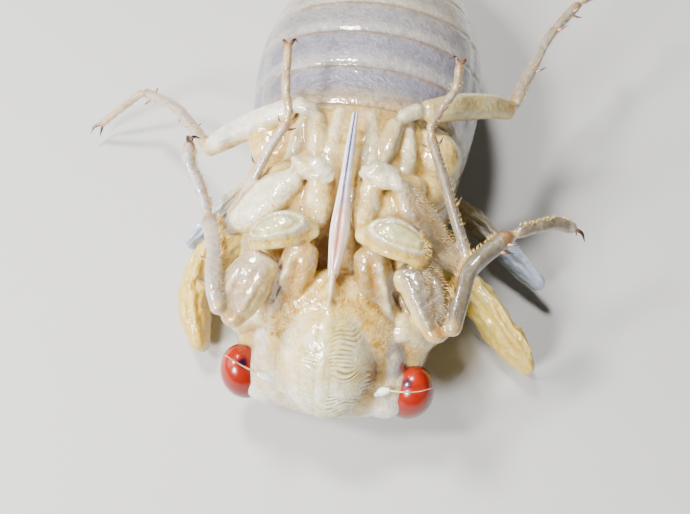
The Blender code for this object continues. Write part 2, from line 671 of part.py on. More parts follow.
def centre_on_floor():
    """Moves the whole part so that its box stands centred on the origin."""
    low = Vector((math.inf,) * 3)
    high = Vector((-math.inf,) * 3)
    for shape in PART.objects:
        for vert in shape.data.vertices:
            low = Vector(map(min, low, vert.co))
            high = Vector(map(max, high, vert.co))
    origin = bpy.data.objects.new("cicada_origin", None)
    PART.objects.link(origin)
    origin.location = (-(low.x + high.x) / 2, -(low.y + high.y) / 2, -low.z)
    for shape in PART.objects:
        if shape is not origin:
            shape.parent = origin


def main():
    clear_scene()
    eyes = make_eyes()
    clypeus = make_clypeus()
    antennae = make_antennae()
    rostrum = make_rostrum()
    pads = {pad.name: pad for pad in make_pads()}
    legs = {leg: make_leg(leg) for leg in LEGS}
    fore_coxae = [legs["fore_left"]["coxa"], legs["fore_right"]["coxa"]]
    hind_coxae = [legs["hind_left"]["coxa"], legs["hind_right"]["coxa"]]
    head_socket = ellipsoid("clypeus_socket", clypeus_middle(), [r + GAP for r in CLYPEUS_RADII],
                            face_frame(), 22, 12)
    head = make_head([grown(shape) for shape in (*eyes, *antennae, *fore_coxae, rostrum)] + [head_socket])
    carve(clypeus, [grown(shape) for shape in (*antennae, *fore_coxae)])
    trunk = make_trunk(make_lobes(eyes), {
        "pronotum": fore_coxae,
        "mesothorax": [legs["middle_left"]["coxa"], legs["middle_right"]["coxa"], *hind_coxae,
                       pads["forewing_left"], pads["forewing_right"]],
        "metathorax": [*hind_coxae, pads["hindwing_left"], pads["hindwing_right"]],
        "abdomen": [pads["hindwing_left"], pads["hindwing_right"]],
    })
    for pieces in legs.values():
        clear_leg(pieces, rostrum)
    for shape in eyes:
        settle(shape, EYE_RED, 0.12)
    settle(clypeus, PALE_GREEN, 0.35)
    settle(head, CREAM)
    settle(rostrum, IVORY, 0.3)
    for shape in antennae:
        settle(shape, IVORY, 0.35)
    for shape in pads.values():
        settle(shape, WING_YELLOW if shape.name.startswith("forewing") else MILKY, 0.3)
    for shape in trunk:
        settle(shape, MILKY if shape.name == "abdomen" else CREAM, 0.35)
    for pieces in legs.values():
        for shape in pieces.values():
            settle(shape, MILKY if shape.name.endswith(("tibia", "tarsus")) else IVORY, 0.25)
    centre_on_floor()


main()
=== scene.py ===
"""Looks of the freshly moulted cicada: one soft skin, eyes, wing pads, beak, feelers, claws and hair.

Forms are drawn in millimetres in the animal's own frame: X to its right, Y from the head to the
tail, Z up through the belly. The CAD eyes say where that frame lies, and place() moves each piece.
"""

import math
import random
from types import SimpleNamespace

import bmesh
import bpy
import numpy as np
from mathutils import Matrix, Vector, kdtree, noise


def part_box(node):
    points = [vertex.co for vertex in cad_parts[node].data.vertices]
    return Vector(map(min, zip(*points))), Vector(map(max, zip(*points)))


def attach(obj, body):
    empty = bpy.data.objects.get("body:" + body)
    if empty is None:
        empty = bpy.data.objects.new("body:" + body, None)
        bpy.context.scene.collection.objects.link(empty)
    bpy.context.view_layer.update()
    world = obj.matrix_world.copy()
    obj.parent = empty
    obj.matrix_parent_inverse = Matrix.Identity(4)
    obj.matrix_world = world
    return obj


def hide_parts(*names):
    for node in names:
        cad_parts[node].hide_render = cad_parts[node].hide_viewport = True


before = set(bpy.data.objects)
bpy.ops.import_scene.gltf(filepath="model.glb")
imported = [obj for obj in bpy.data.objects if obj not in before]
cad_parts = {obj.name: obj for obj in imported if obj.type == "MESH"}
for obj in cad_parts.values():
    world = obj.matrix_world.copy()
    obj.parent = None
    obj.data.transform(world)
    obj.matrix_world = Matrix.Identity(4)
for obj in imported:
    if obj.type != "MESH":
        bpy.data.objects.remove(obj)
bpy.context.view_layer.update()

# Driving sizes, in millimetres, and the counts, shares and rounds of smoothing that go with them
MM = 0.001
BODY_LENGTH = 29.2
EYE_RADII = (1.05, 1.12, 1.38)
EYE_PLACE = (3.75, 1.75, 3.15)
FACE_TOP = Vector((0.0, 0.2, 2.6))
FACE_END = Vector((0.0, 4.3, 8.0))
CLYPEUS_RADII = (2.25, 1.75, 2.85)
RIDGE_SPACING = 0.18
RIDGE_HEIGHT = 0.022
RIDGE_WOBBLE = 0.34
KEEL_WIDTH = 0.17
VOXEL = 0.06
SKIN_SMOOTHING = 3
TONE_SMOOTHING = 6
WRINKLE_HEIGHT = 0.034
WRINKLE_SEED = 1
TONE_DEPTH = (1.25, 1.3, 1.5)
GAP_FILL = 0.5
SLIT_DEPTH = 0.15
FACE_HAIRS = 520
FACE_HAIR_SEED = 3
CREASE_REACH = 24
CREASE_DEPTH = 0.06
CAVITY_REACH = 160
CAVITY_DEPTH = 0.22
PROTHORAX_END = 6.2
MESOTHORAX_END = 10.7
METATHORAX_END = 12.8
ABDOMEN_SEGMENTS = 8
SEGMENT_STEP = 0.16

# Linear colours
CREAM = (0.87, 0.70, 0.34)
PALE = (0.88, 0.84, 0.60)
TAN = (0.80, 0.60, 0.27)
AMBER = (0.58, 0.31, 0.04)
HONEY = (0.82, 0.58, 0.10)
UMBER = (0.36, 0.19, 0.06)
DOME = (1.0, 0.985, 0.84)
WHITE = (1.0, 1.0, 0.95)
COXA_TAN = (0.67, 0.45, 0.17)
PEARL = (0.82, 0.78, 0.58)
FROST = (0.90, 0.85, 0.72)
LIME = (0.70, 0.68, 0.36)
MILKY = (0.60, 0.54, 0.53)
LAVENDER = (0.84, 0.81, 0.86)
SMOKE = (0.33, 0.34, 0.45)
TAIL_CREAM = (0.74, 0.66, 0.50)
WET_TAN = (0.66, 0.50, 0.30)
GOLD = (0.80, 0.55, 0.05)
WING_CREAM = (0.84, 0.64, 0.13)
WING_BLUE = (0.42, 0.50, 0.66)
# Painted shade: grey glass, darkened for the legs on the right
SHADED_GLASS = (0.21, 0.185, 0.175)
KNEE = (0.42, 0.17, 0.04)
OLIVE = (0.52, 0.46, 0.24)
SLIT_SHADE = (0.20, 0.10, 0.04)
OCELLUS = (0.45, 0.012, 0.005)
EYE_DARK = (0.075, 0.002, 0.002)
EYE_BRIGHT = (0.30, 0.014, 0.003)
EYE_SPOT = (0.02, 0.004, 0.02)
BRISTLE_TIP = (0.25, 0.14, 0.09)
CLAW_ROOT = (0.35, 0.16, 0.07)
CLAW_TIP = (0.03, 0.012, 0.01)
SPINE_ROOT = (0.5, 0.28, 0.12)
SPINE_TIP = (0.05, 0.02, 0.015)
NIGHT = (0.012, 0.010, 0.010)

# Y, half width, back, waist and belly height of the trunk
TRUNK = (
    (2.6, 4.1, 1.25, 3.3, 5.0),
    (3.6, 4.45, 0.8, 3.4, 5.9),
    (5.0, 4.75, 0.3, 3.4, 6.8),
    (6.3, 4.8, 0.1, 3.4, 7.8),
    (8.0, 4.65, -0.12, 3.5, 8.75),
    (10.0, 4.75, -0.12, 3.8, 9.0),
    (12.0, 5.05, 0.15, 4.1, 9.0),
    (14.0, 5.5, 0.3, 4.4, 8.8),
    (16.5, 5.8, 0.05, 4.6, 8.95),
    (19.0, 5.7, -0.12, 4.6, 8.9),
    (21.5, 5.15, 0.1, 4.5, 8.4),
    (24.0, 4.25, 0.6, 4.4, 7.6),
    (26.3, 2.95, 1.4, 4.3, 6.5),
    (28.3, 1.5, 2.5, 4.1, 5.3),
    (BODY_LENGTH, 0.5, 3.3, 3.9, 4.5),
)

# X away from the middle, Y, Z, half width and half depth along each piece of each leg
LEGS = {
    "fore_left": {
        "coxa": ((2.25, 3.75, 5.7, 0.75, 0.7), (1.85, 4.35, 6.85, 0.8, 0.7),
                 (1.5, 5.0, 8.0, 0.78, 0.6), (1.35, 5.4, 8.5, 0.7, 0.48)),
        "trochanter": ((1.15, 6.2, 9.2, 0.2, 0.2), (1.6, 6.15, 9.36, 0.54, 0.34),
                       (2.2, 5.95, 9.44, 0.68, 0.4), (2.8, 5.7, 9.36, 0.6, 0.38),
                       (3.2, 5.53, 9.2, 0.42, 0.3), (3.45, 5.43, 9.05, 0.16, 0.16)),
        "femur": ((2.95, 4.7, 8.45, 0.8, 0.45), (3.35, 3.75, 8.35, 1.02, 0.58),
                  (3.55, 2.75, 8.25, 0.76, 0.55), (3.65, 2.3, 8.2, 0.52, 0.42)),
        "tibia": ((4.2, 2.45, 8.75, 0.34, 0.34), (4.6, 3.45, 8.75, 0.36, 0.38),
                  (4.98, 5.1, 8.3, 0.36, 0.36), (5.55, 6.6, 7.85, 0.42, 0.38)),
        "tarsus": ((5.9, 7.2, 7.8, 0.27, 0.25), (6.2, 7.9, 8.2, 0.25, 0.25),
                   (6.85, 8.9, 8.65, 0.3, 0.28), (6.9, 9.5, 9.1, 0.26, 0.25)),
    },
    "fore_right": {
        "coxa": ((2.35, 4.1, 5.7, 0.75, 0.7), (1.95, 4.55, 6.85, 0.8, 0.7),
                 (1.6, 5.1, 8.0, 0.8, 0.6), (1.45, 5.5, 8.5, 0.72, 0.48)),
        "trochanter": ((1.15, 6.25, 9.2, 0.2, 0.2), (1.6, 6.22, 9.4, 0.62, 0.34),
                       (2.3, 6.1, 9.44, 0.76, 0.4), (3.0, 5.85, 9.32, 0.64, 0.38),
                       (3.45, 5.65, 9.12, 0.4, 0.3), (3.65, 5.55, 9.0, 0.16, 0.16)),
        "femur": ((3.1, 5.0, 8.45, 0.8, 0.45), (3.7, 4.2, 8.35, 1.04, 0.58),
                  (4.15, 3.15, 8.25, 0.8, 0.55), (4.35, 2.65, 8.2, 0.52, 0.42)),
        "tibia": ((4.95, 2.85, 8.5, 0.34, 0.36), (5.15, 4.0, 8.6, 0.36, 0.38),
                  (5.5, 5.45, 8.65, 0.36, 0.36), (6.75, 6.85, 8.8, 0.42, 0.38)),
        "tarsus": ((7.35, 7.2, 8.9, 0.27, 0.25), (8.0, 7.6, 8.7, 0.26, 0.25),
                   (8.9, 8.1, 8.35, 0.29, 0.28), (9.6, 8.2, 8.0, 0.26, 0.25)),
    },
    "middle_left": {
        "coxa": ((1.0, 6.9, 7.9, 0.55, 0.5), (1.08, 7.4, 8.6, 0.6, 0.5),
                 (1.12, 7.8, 8.9, 0.5, 0.42)),
        "trochanter": ((0.95, 8.78, 9.4, 0.36, 0.34), (1.2, 8.9, 9.5, 0.42, 0.38),
                       (1.75, 8.8, 9.35, 0.38, 0.36)),
        "femur": ((2.25, 8.35, 9.05, 0.6, 0.42), (3.0, 7.8, 8.75, 1.0, 0.6),
                  (3.8, 7.15, 8.15, 0.92, 0.6), (4.75, 6.8, 7.3, 0.45, 0.38)),
        "tibia": ((4.85, 7.35, 7.5, 0.33, 0.33), (4.15, 8.3, 8.3, 0.33, 0.3),
                  (3.4, 9.55, 9.4, 0.3, 0.28), (2.75, 10.5, 10.1, 0.32, 0.3)),
        "tarsus": ((2.7, 10.9, 10.35, 0.26, 0.25), (2.98, 11.9, 10.45, 0.27, 0.26),
                   (3.15, 13.1, 10.55, 0.27, 0.26), (3.26, 14.2, 10.6, 0.25, 0.25)),
    },
    "middle_right": {
        "coxa": ((1.1, 7.1, 7.9, 0.55, 0.5), (1.12, 7.6, 8.6, 0.6, 0.5),
                 (1.1, 7.9, 8.9, 0.5, 0.42)),
        "trochanter": ((1.1, 8.85, 9.4, 0.36, 0.34), (1.35, 9.0, 9.5, 0.42, 0.38),
                       (1.95, 8.95, 9.35, 0.38, 0.36)),
        "femur": ((2.5, 8.5, 8.95, 0.55, 0.42), (3.1, 7.75, 8.6, 0.85, 0.5),
                  (4.0, 6.7, 8.1, 0.75, 0.5), (5.0, 5.95, 7.7, 0.42, 0.38)),
        "tibia": ((5.35, 6.3, 8.0, 0.33, 0.33), (4.9, 7.2, 8.45, 0.33, 0.3),
                  (4.1, 8.9, 9.35, 0.31, 0.28), (3.35, 10.45, 10.15, 0.32, 0.3)),
        "tarsus": ((3.25, 10.85, 10.35, 0.26, 0.25), (3.68, 11.85, 10.45, 0.27, 0.26),
                   (4.15, 12.85, 10.6, 0.27, 0.26), (4.2, 13.9, 10.75, 0.25, 0.25)),
    },
    "hind_left": {
        "coxa": ((1.25, 9.4, 8.4, 0.4, 0.4), (1.45, 10.4, 8.72, 0.48, 0.45),
                 (1.7, 11.7, 8.85, 0.42, 0.42)),
        "trochanter": ((2.0, 12.1, 9.1, 0.42, 0.38), (2.55, 12.3, 9.1, 0.48, 0.42)),
        "femur": ((3.15, 12.1, 8.85, 0.55, 0.45), (4.4, 11.9, 8.1, 0.64, 0.52),
                  (6.0, 11.6, 7.0, 0.6, 0.5), (6.85, 11.45, 6.35, 0.48, 0.42)),
        "tibia": ((7.3, 11.85, 6.05, 0.36, 0.35), (8.3, 13.1, 5.5, 0.33, 0.3),
                  (9.8, 14.8, 4.7, 0.3, 0.28), (11.9, 16.3, 3.6, 0.32, 0.3)),
        "tarsus": ((12.35, 16.5, 3.3, 0.27, 0.26), (13.2, 16.15, 2.7, 0.26, 0.25),
                   (14.2, 15.85, 1.9, 0.27, 0.25), (14.9, 15.65, 1.3, 0.25, 0.25)),
    },
    "hind_right": {
        "coxa": ((1.3, 9.5, 8.4, 0.4, 0.4), (1.5, 10.5, 8.72, 0.48, 0.45),
                 (1.75, 11.8, 8.85, 0.42, 0.42)),
        "trochanter": ((2.1, 12.25, 9.1, 0.42, 0.38), (2.65, 12.6, 9.1, 0.48, 0.42)),
        "femur": ((3.2, 12.8, 8.9, 0.55, 0.45), (4.4, 13.5, 8.5, 0.64, 0.52),
                  (5.9, 14.3, 7.8, 0.6, 0.5), (6.85, 14.7, 7.2, 0.48, 0.42)),
        "tibia": ((7.25, 15.25, 7.1, 0.36, 0.35), (7.9, 17.2, 7.1, 0.36, 0.32),
                  (8.75, 19.4, 7.3, 0.31, 0.28), (10.0, 21.4, 7.5, 0.32, 0.3)),
        "tarsus": ((10.45, 21.95, 7.5, 0.27, 0.26), (11.1, 22.6, 7.3, 0.26, 0.25),
                   (11.8, 23.4, 6.8, 0.27, 0.25), (12.3, 24.1, 6.2, 0.25, 0.25)),
    },
}
LEG_PARTS = ("coxa", "trochanter", "femur", "tibia", "tarsus")
# How much thinner the real shins and feet are than their solids
SLIM = {
    ("middle", "tibia"): 0.7, ("middle", "tarsus"): 0.75, ("hind", "tibia"): 0.85,
    ("hind", "tarsus"): 0.8, ("fore", "tarsus"): 1.05, ("hind", "trochanter"): 0.8,
}

# Which way each pair of claws curls, and how long it is
CLAW_LENGTH = 0.62
CLAW_CURL = {
    "fore_left": (0.9, -0.4, -0.1), "fore_right": (0.2, -0.5, -0.8),
    "middle_left": (0.1, 0.1, -1.0), "middle_right": (-0.3, 0.1, -1.0),
    "hind_left": (-0.2, -0.7, -0.5), "hind_right": (0.2, -0.2, -1.0),
}

# Spines on the tibiae: place along it from knee to ankle, turn in degrees or the way it faces, length
TIBIA_SPINES = {
    "fore_left": ((0.3, (-1.0, 0.0, 0.4), 0.34), (0.55, (-1.0, 0.0, 0.4), 0.34),
                  (0.97, 20, 0.5), (0.95, 160, 0.4)),
    "fore_right": ((0.97, 60, 0.5), (0.95, 110, 0.5), (0.9, 80, 0.45),
                   (0.55, (-0.8, 0.7, 0.6), 0.42), (0.62, (-0.9, 0.5, 0.3), 0.4)),
    "middle_left": ((0.5, 160, 0.45), (0.96, 150, 0.45), (0.96, 30, 0.45)),
    "middle_right": ((0.5, 20, 0.45), (0.96, 150, 0.45), (0.96, 30, 0.45)),
    "hind_left": ((0.35, 60, 0.55), (0.55, 140, 0.55), (0.75, 60, 0.55),
                  (0.96, 20, 0.5), (0.96, 100, 0.5), (0.96, 170, 0.5)),
    "hind_right": ((0.35, 20, 0.55), (0.55, 150, 0.55), (0.75, 20, 0.55),
                   (0.96, 10, 0.5), (0.96, 90, 0.5), (0.96, 170, 0.5)),
}

# Wing pads, root to tip: X away from the middle, Y, Z, half height and half thickness
PADS = {
    "forewing_left": ((4.3, 8.9, 3.1, 1.1, 0.5), (5.5, 8.6, 2.7, 1.45, 0.62),
                      (6.6, 7.7, 2.1, 1.7, 0.8), (7.1, 6.2, 1.7, 1.75, 0.88),
                      (7.0, 4.75, 1.55, 1.6, 0.85), (6.55, 3.55, 1.4, 1.1, 0.6)),
    "forewing_right": ((4.3, 8.4, 3.1, 1.1, 0.5), (5.6, 7.9, 2.6, 1.5, 0.6),
                       (6.8, 6.9, 2.0, 1.75, 0.7), (7.9, 5.7, 1.65, 1.72, 0.68),
                       (8.7, 4.85, 1.5, 1.5, 0.6), (9.15, 4.25, 1.35, 1.0, 0.42)),
    "hindwing_left": ((4.7, 11.9, 2.9, 0.8, 0.42), (5.8, 11.2, 2.4, 1.05, 0.5),
                      (6.9, 9.9, 1.9, 1.15, 0.52), (8.0, 8.75, 1.5, 0.8, 0.42)),
    "hindwing_right": ((4.7, 11.8, 2.9, 0.8, 0.42), (6.0, 11.4, 2.4, 1.05, 0.48),
                       (7.9, 10.0, 1.9, 1.15, 0.48), (9.6, 8.65, 1.55, 0.8, 0.38)),
}

# The photo's camera, in the animal's frame, and its lens
CAMERA_PLACE = Vector((2.464, -8.293, 35.581))
CAMERA_RIGHT = Vector((0.99113, 0.13260, -0.00872))
CAMERA_UP = Vector((-0.11423, 0.88370, 0.45391))
SENSOR = 36.0
LENS = 39.08


def cad_middle(node):
    low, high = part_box(node)
    return (Vector(low) + Vector(high)) / 2 / MM


# Where the animal's frame lies in the CAD frame
SHIFT = (cad_middle("eye_left") + cad_middle("eye_right")) / 2 - Vector((0, *EYE_PLACE[1:]))
TO_WORLD = Matrix.Scale(MM, 4) @ Matrix.Translation(SHIFT)


def spline(stations, steps):
    """Rows of a smooth curve through the stations, `steps` rows to each span."""
    rows = [np.array(station, float) for station in stations]
    padded = [2 * rows[0] - rows[1], *rows, 2 * rows[-1] - rows[-2]]
    curve = []
    for before, start, end, after in zip(padded, padded[1:], padded[2:], padded[3:]):
        for step in range(steps):
            t = step / steps
            curve.append(0.5 * (2 * start + (end - before) * t
                                + (2 * before - 5 * start + 4 * end - after) * t * t
                                + (3 * start - before - 3 * end + after) * t ** 3))
    curve.append(rows[-1])
    return curve


def mix(a, b, share):
    return tuple(x + (y - x) * share for x, y in zip(a, b))


def clamp(value, low=0.0, high=1.0):
    return max(low, min(high, value))


def bell(value, width):
    return math.exp(-(value / width) ** 2)


def mirrored(stations, side):
    return [(side * row[0], *row[1:]) for row in stations]


def side_of(name):
    return -1 if name.endswith("left") else 1


def wrapped(angle):
    return (angle + math.pi) % (2 * math.pi) - math.pi


class Form:
    """A closed surface with a tone at each point: red, green, blue and how amber its creases go, as painted
    shade.
    """

    def __init__(self, points, faces, tones):
        self.points = np.array(points, float)
        self.faces = faces
        self.tones = np.array(tones, float)


def rings_form(rings, tones, start, end, end_tones):
    """Form over rings of equal count, closed by a fan at each end."""
    sides = len(rings[0])
    points = [point for ring in rings for point in ring]
    faces = []
    for i in range(len(rings) - 1):
        for k in range(sides):
            a, b = i * sides + k, i * sides + (k + 1) % sides
            faces.append((a, b, b + sides, a + sides))
    first, last = len(points), len(points) + 1
    top = (len(rings) - 1) * sides
    for k in range(sides):
        faces.append((first, (k + 1) % sides, k))
        faces.append((last, top + k, top + (k + 1) % sides))
    return Form([*points, start, end], faces, [*tones, *end_tones])


def tube(stations, across, tone, relief=None, sides=28, steps=8, caps=5):
    """Rounded tube of oval section. `tone` and `relief` take the place along it and the angle."""
    rows = spline(stations, steps)
    centres = [Vector(row[:3]) for row in rows]
    across = Vector(across)
    last = len(rows) - 1
    plan = [(0, math.pi / 2 * k / caps) for k in range(1, caps)]
    plan += [(i, math.pi / 2) for i in range(last + 1)]
    plan += [(last, math.pi - math.pi / 2 * k / caps) for k in range(caps - 1, 0, -1)]
    rings, tones = [], []
    for i, turn in plan:
        tangent = (centres[min(i + 1, last)] - centres[max(i - 1, 0)]).normalized()
        side = (across - tangent * across.dot(tangent)).normalized()
        front = tangent.cross(side)
        width, depth = rows[i][3], rows[i][4]
        middle = centres[i] - tangent * depth * math.cos(turn)
        along = i / last
        ring = []
        for k in range(sides):
            angle = 2 * math.pi * k / sides
            swell = relief(along, angle) if relief else 0.0
            ring.append(middle + (side * math.cos(angle) * (width + swell)
                                  + front * math.sin(angle) * (depth + swell)) * math.sin(turn))
            tones.append(tone(along, angle))
        rings.append(ring)
    start = centres[0] - (centres[1] - centres[0]).normalized() * rows[0][4]
    end = centres[-1] + (centres[-1] - centres[-2]).normalized() * rows[-1][4]
    return rings_form(rings, tones, start, end, (tone(0, 0), tone(1, 0)))


def ball(centre, radii, tone, turn=None, segments=36, rings=24):
    """Ellipsoid form with one tone, or a tone worked out from the unit direction."""
    turn = turn or Matrix.Identity(3)
    loops, tones = [], []
    for i in range(1, rings):
        polar = math.pi * i / rings
        loop = []
        for k in range(segments):
            angle = 2 * math.pi * k / segments
            around = math.sin(polar)
            unit = Vector((around * math.cos(angle), around * math.sin(angle), math.cos(polar)))
            loop.append(Vector(centre) + turn @ Vector([u * r for u, r in zip(unit, radii)]))
            tones.append(tone(unit) if callable(tone) else tone)
        loops.append(loop)
    poles = [Vector((0, 0, 1)), Vector((0, 0, -1))]
    ends = [Vector(centre) + turn @ (pole * radii[2]) for pole in poles]
    end_tones = [tone(pole) if callable(tone) else tone for pole in poles]
    return rings_form(loops, tones, *ends, end_tones)


def face_frame():
    """Turn whose Z runs down the face from crown to beak and whose Y points out of it."""
    down = (FACE_END - FACE_TOP).normalized()
    across = Vector((-1.0, 0.0, 0.0))
    return Matrix((across, down.cross(across), down)).transposed()


def clypeus_middle():
    return FACE_TOP.lerp(FACE_END, 0.45) + face_frame().col[1] * -0.15


def segment_edges():
    """Y of the edges between the segments of the abdomen, which shorten towards the tail."""
    start, end = METATHORAX_END, BODY_LENGTH - 0.9
    return [start + (end - start) * (i / ABDOMEN_SEGMENTS) ** 0.93 for i in range(ABDOMEN_SEGMENTS + 1)]


def trunk_tone(x, y, s, abdomen, edges):
    """Tan breast with painted shade in the trough under the beak, creamy back with its two black patches.

    The abdomen is smoky under the legs and cream on its back and tail, with a line at each ring."""
    if s > 0:
        # Painted shade in the trough under the beak
        trough = bell(x, 1.3) * clamp((9.0 - y) / 2.0)
        colour = mix(TAN, mix(TAN, UMBER, 0.55), trough)
    else:
        colour = mix(CREAM, NIGHT, 0.95 * clamp(2.2 * bell(abs(x) - 1.9, 0.75) * bell(y - 4.3, 0.9) - 0.7))
    smoky = clamp((s + 0.35) / 0.6) * clamp((25.0 - y) / 8.0)
    rings = mix(TAIL_CREAM, SMOKE, smoky)
    line = max(bell(y - edge, 0.1) for edge in edges)
    pale = max(bell(y - edge - 0.45, 0.3) for edge in edges)
    rings = mix(mix(rings, FROST, 0.3 * pale), AMBER, 0.35 * line)
    return (*mix(colour, rings, abdomen), 1 - 0.75 * abdomen)


def belly_at(x, y):
    """Height of the belly, X away from the middle."""
    table = np.array(TRUNK)
    half, waist, belly = (float(np.interp(y, table[:, 0], table[:, k])) for k in (1, 3, 4))
    return waist + (belly - waist) * (1 - (x / half) ** 2) ** 0.3


def trunk_form(sides=120, step=0.12):
    """Thorax and abdomen in one, with soft steps between the rings of the abdomen."""
    table = np.array(spline(TRUNK, 8))
    edges = segment_edges()
    folds = (PROTHORAX_END, MESOTHORAX_END)
    rings, tones = [], []
    rows = int((BODY_LENGTH - TRUNK[0][0]) / step)
    for i in range(rows + 1):
        y = TRUNK[0][0] + (BODY_LENGTH - TRUNK[0][0]) * i / rows
        half, back, waist, belly = (np.interp(y, table[:, 0], table[:, k]) for k in range(1, 5))
        swell = -0.1 * sum(bell(y - fold, 0.15) for fold in folds)
        if y > edges[0]:
            behind = max(edge for edge in edges if edge <= y)
            swell -= SEGMENT_STEP * bell(y - behind, 0.16)
        abdomen = clamp((y - METATHORAX_END + 0.9) / 2.2)
        ring = []
        for k in range(sides):
            angle = 2 * math.pi * k / sides
            c, s = math.cos(angle), math.sin(angle)
            seam = -0.1 * abdomen * bell(abs(s) - 0.42, 0.06) * (s > 0)
            height = (belly - waist) if s > 0 else (waist - back)
            fullness = 0.6 + 0.3 * abdomen if s > 0 else 0.9
            raised = abs(s) ** fullness * (1 if s > 0 else -1)
            ring.append(Vector(((half + swell + seam) * c, y, waist + (height + swell + seam) * raised)))
            tones.append(trunk_tone(half * c, y, s, abdomen, edges[1:-1]))
        rings.append(ring)
    middles = [sum(ring, Vector()) / sides for ring in (rings[0], rings[-1])]
    return rings_form(rings, tones, *middles, ((*TAN, 1), (*TAIL_CREAM, 0.1)))


def clypeus_egg(tone):
    """Dome of the face, narrower towards the beak."""
    form = ball(clypeus_middle(), CLYPEUS_RADII, tone, face_frame(), 72, 56)
    down = (form.points - np.array(clypeus_middle())) @ np.array(face_frame())[:, 2] / CLYPEUS_RADII[2]
    form.points[:, 0] *= 0.97 - 0.12 * np.clip((down + 0.1) / 0.8, 0, 1)
    return form


def head_forms():
    """Crown, face, cheeks, brows, lora, clypeus and the slim end of it above the beak."""
    turn = face_frame()

    def clypeus_tone(unit):
        """Pale greenish cream, whiter in the middle, tan at the rim and honey near the beak."""
        colour = mix(DOME, CREAM, 0.6 * clamp((0.25 - unit.y) / 0.4))
        colour = mix(colour, LIME, 0.3 * bell(unit.x, 0.12))
        patch = noise.noise(Vector(unit) * 3.2) + 0.5 * noise.noise(Vector(unit) * 8.0)
        patch += 0.5 * noise.noise(Vector(unit) * 17.0)
        colour = mix(mix(colour, WHITE, clamp(1.8 * patch)), HONEY, 0.35 * clamp(-2 * patch))
        return (*mix(colour, HONEY, 0.5 * clamp((unit.z - 0.55) / 0.4)), 0.8)

    # Painted shade: the right cheek is a darker smoky lavender than the left
    def shaded_right_cheek(unit):
        return (*mix(mix(SMOKE, LAVENDER, 0.4), CREAM, clamp(noise.noise(Vector(unit) * 3.0))), 0.6)

    def cheek_tone(unit):
        """Glassy lavender white with creamy blotches."""
        patch = noise.noise(Vector(unit) * 2.5) + 0.5 * noise.noise(Vector(unit) * 7.0)
        return (*mix(mix(LAVENDER, WHITE, 0.3), CREAM, clamp(1.6 * patch)), 0.6)

    def front_tone(along, angle):
        return (*mix(CREAM, FROST, 0.65), 0.9)

    def gena_tone(unit):
        return (*mix(mix(CREAM, HONEY, 0.3), LAVENDER, clamp(0.5 - 1.3 * unit.z)), 0.6)

    def shield_tone(along, angle):
        edge = clamp((abs(math.cos(angle)) - 0.45) / 0.35)
        return (*mix(mix(CREAM, PALE, 0.3), HONEY, 0.9 * edge), 1.0)

    def shield_relief(along, angle):
        """Two folds down each side of the shield over the face, and fine wrinkles across it."""
        across = math.cos(angle)
        folds = 0.07 * bell(abs(across) - 0.52, 0.12) - 0.06 * bell(abs(across) - 0.76, 0.07)
        return folds * clamp(4 * along) + 0.012 * math.sin(60 * along + 6 * abs(across))

    forms = [
        ball((0, 2.0, 3.2), (4.1, 1.8, 1.95), (*mix(CREAM, LAVENDER, 0.45), 0.5)),
        ball((0, 3.2, 5.1), (3.0, 1.45, 3.15), gena_tone, turn),
        clypeus_egg(clypeus_tone),
        tube([(0, 4.25, 7.8, 0.3, 0.34), (0, 4.0, 7.2, 0.85, 0.5), (0, 3.7, 6.45, 1.5, 0.6),
              (0, 3.35, 5.6, 2.1, 0.75), (0, 2.95, 4.8, 2.5, 0.8)], (1, 0, 0), shield_tone, shield_relief,
             96, 16),
        tube([(0, 3.25, 7.0, 0.08, 0.14), (0, 3.6, 7.42, 0.1, 0.17), (0, 3.94, 7.9, 0.11, 0.19),
              (0, 4.45, 8.25, 0.17, 0.26)], (1, 0, 0), front_tone),
    ]
    for side in (-1, 1):
        forms += [
            ball((side * 2.5, 2.55, 4.25), (0.85, 0.8, 1.5), shaded_right_cheek if side > 0 else cheek_tone, turn),
            ball((side * 2.12, 1.35, 4.15), (0.42, 0.4, 0.42), (*LAVENDER, 0.3)),
            ball((side * 2.6, 1.15, 3.2), (0.95, 0.75, 0.8), cheek_tone),
            ball((side * 0.5, 0.85, 1.72), (0.16, 0.16, 0.12), (*OCELLUS, 0), None, 20, 12),
        ]
    forms.append(ball((0, 0.62, 1.98), (0.16, 0.16, 0.12), (*OCELLUS, 0), None, 20, 12))
    return forms


# Folds of the breast on one side: X and Y of each row and half width
BREAST_FOLDS = (
    ((0.85, 9.2, 0.3), (0.9, 10.4, 0.36), (0.68, 12.3, 0.3)),
    ((2.35, 9.2, 0.34), (2.45, 10.6, 0.4), (2.2, 12.2, 0.34)),
    ((3.3, 9.0, 0.36), (3.45, 10.4, 0.42), (3.2, 12.0, 0.36)),
)
FOLD_DEPTH = 0.26
# Soft plates that pack the breast between the leg roots: middle and radii, the same on both sides
BREAST_PLATES = (
    ((1.75, 7.0, 8.05), (0.75, 0.95, 0.7)), ((2.6, 6.2, 7.6), (0.8, 1.0, 0.7)),
    ((1.35, 6.0, 7.8), (0.4, 1.1, 0.55)), ((2.75, 8.9, 8.35), (0.7, 0.75, 0.6)),
    ((3.6, 9.4, 7.6), (0.9, 1.0, 0.8)), ((1.9, 7.9, 8.45), (0.85, 1.1, 0.5)),
    ((0.95, 7.4, 8.75), (0.56, 1.1, 0.5)), ((3.1, 7.2, 8.05), (1.0, 0.9, 0.55)),
    ((3.7, 11.2, 7.7), (1.1, 1.3, 0.7)), ((0.6, 8.9, 8.7), (0.4, 1.0, 0.35)),
    ((1.05, 8.25, 8.95), (0.55, 0.6, 0.45)),
)
# Painted shade: the legs on the right are a little darker than those on the left
RIGHT_SHADE = 0.7
# Frosted caps on the roots of the middle legs
CAPS = ((-1.42, 8.82, 9.42), (1.5, 8.75, 9.4))
CAP_RADII = (1.05, 0.47, 0.4)
CAP_TURN = math.radians(-15)


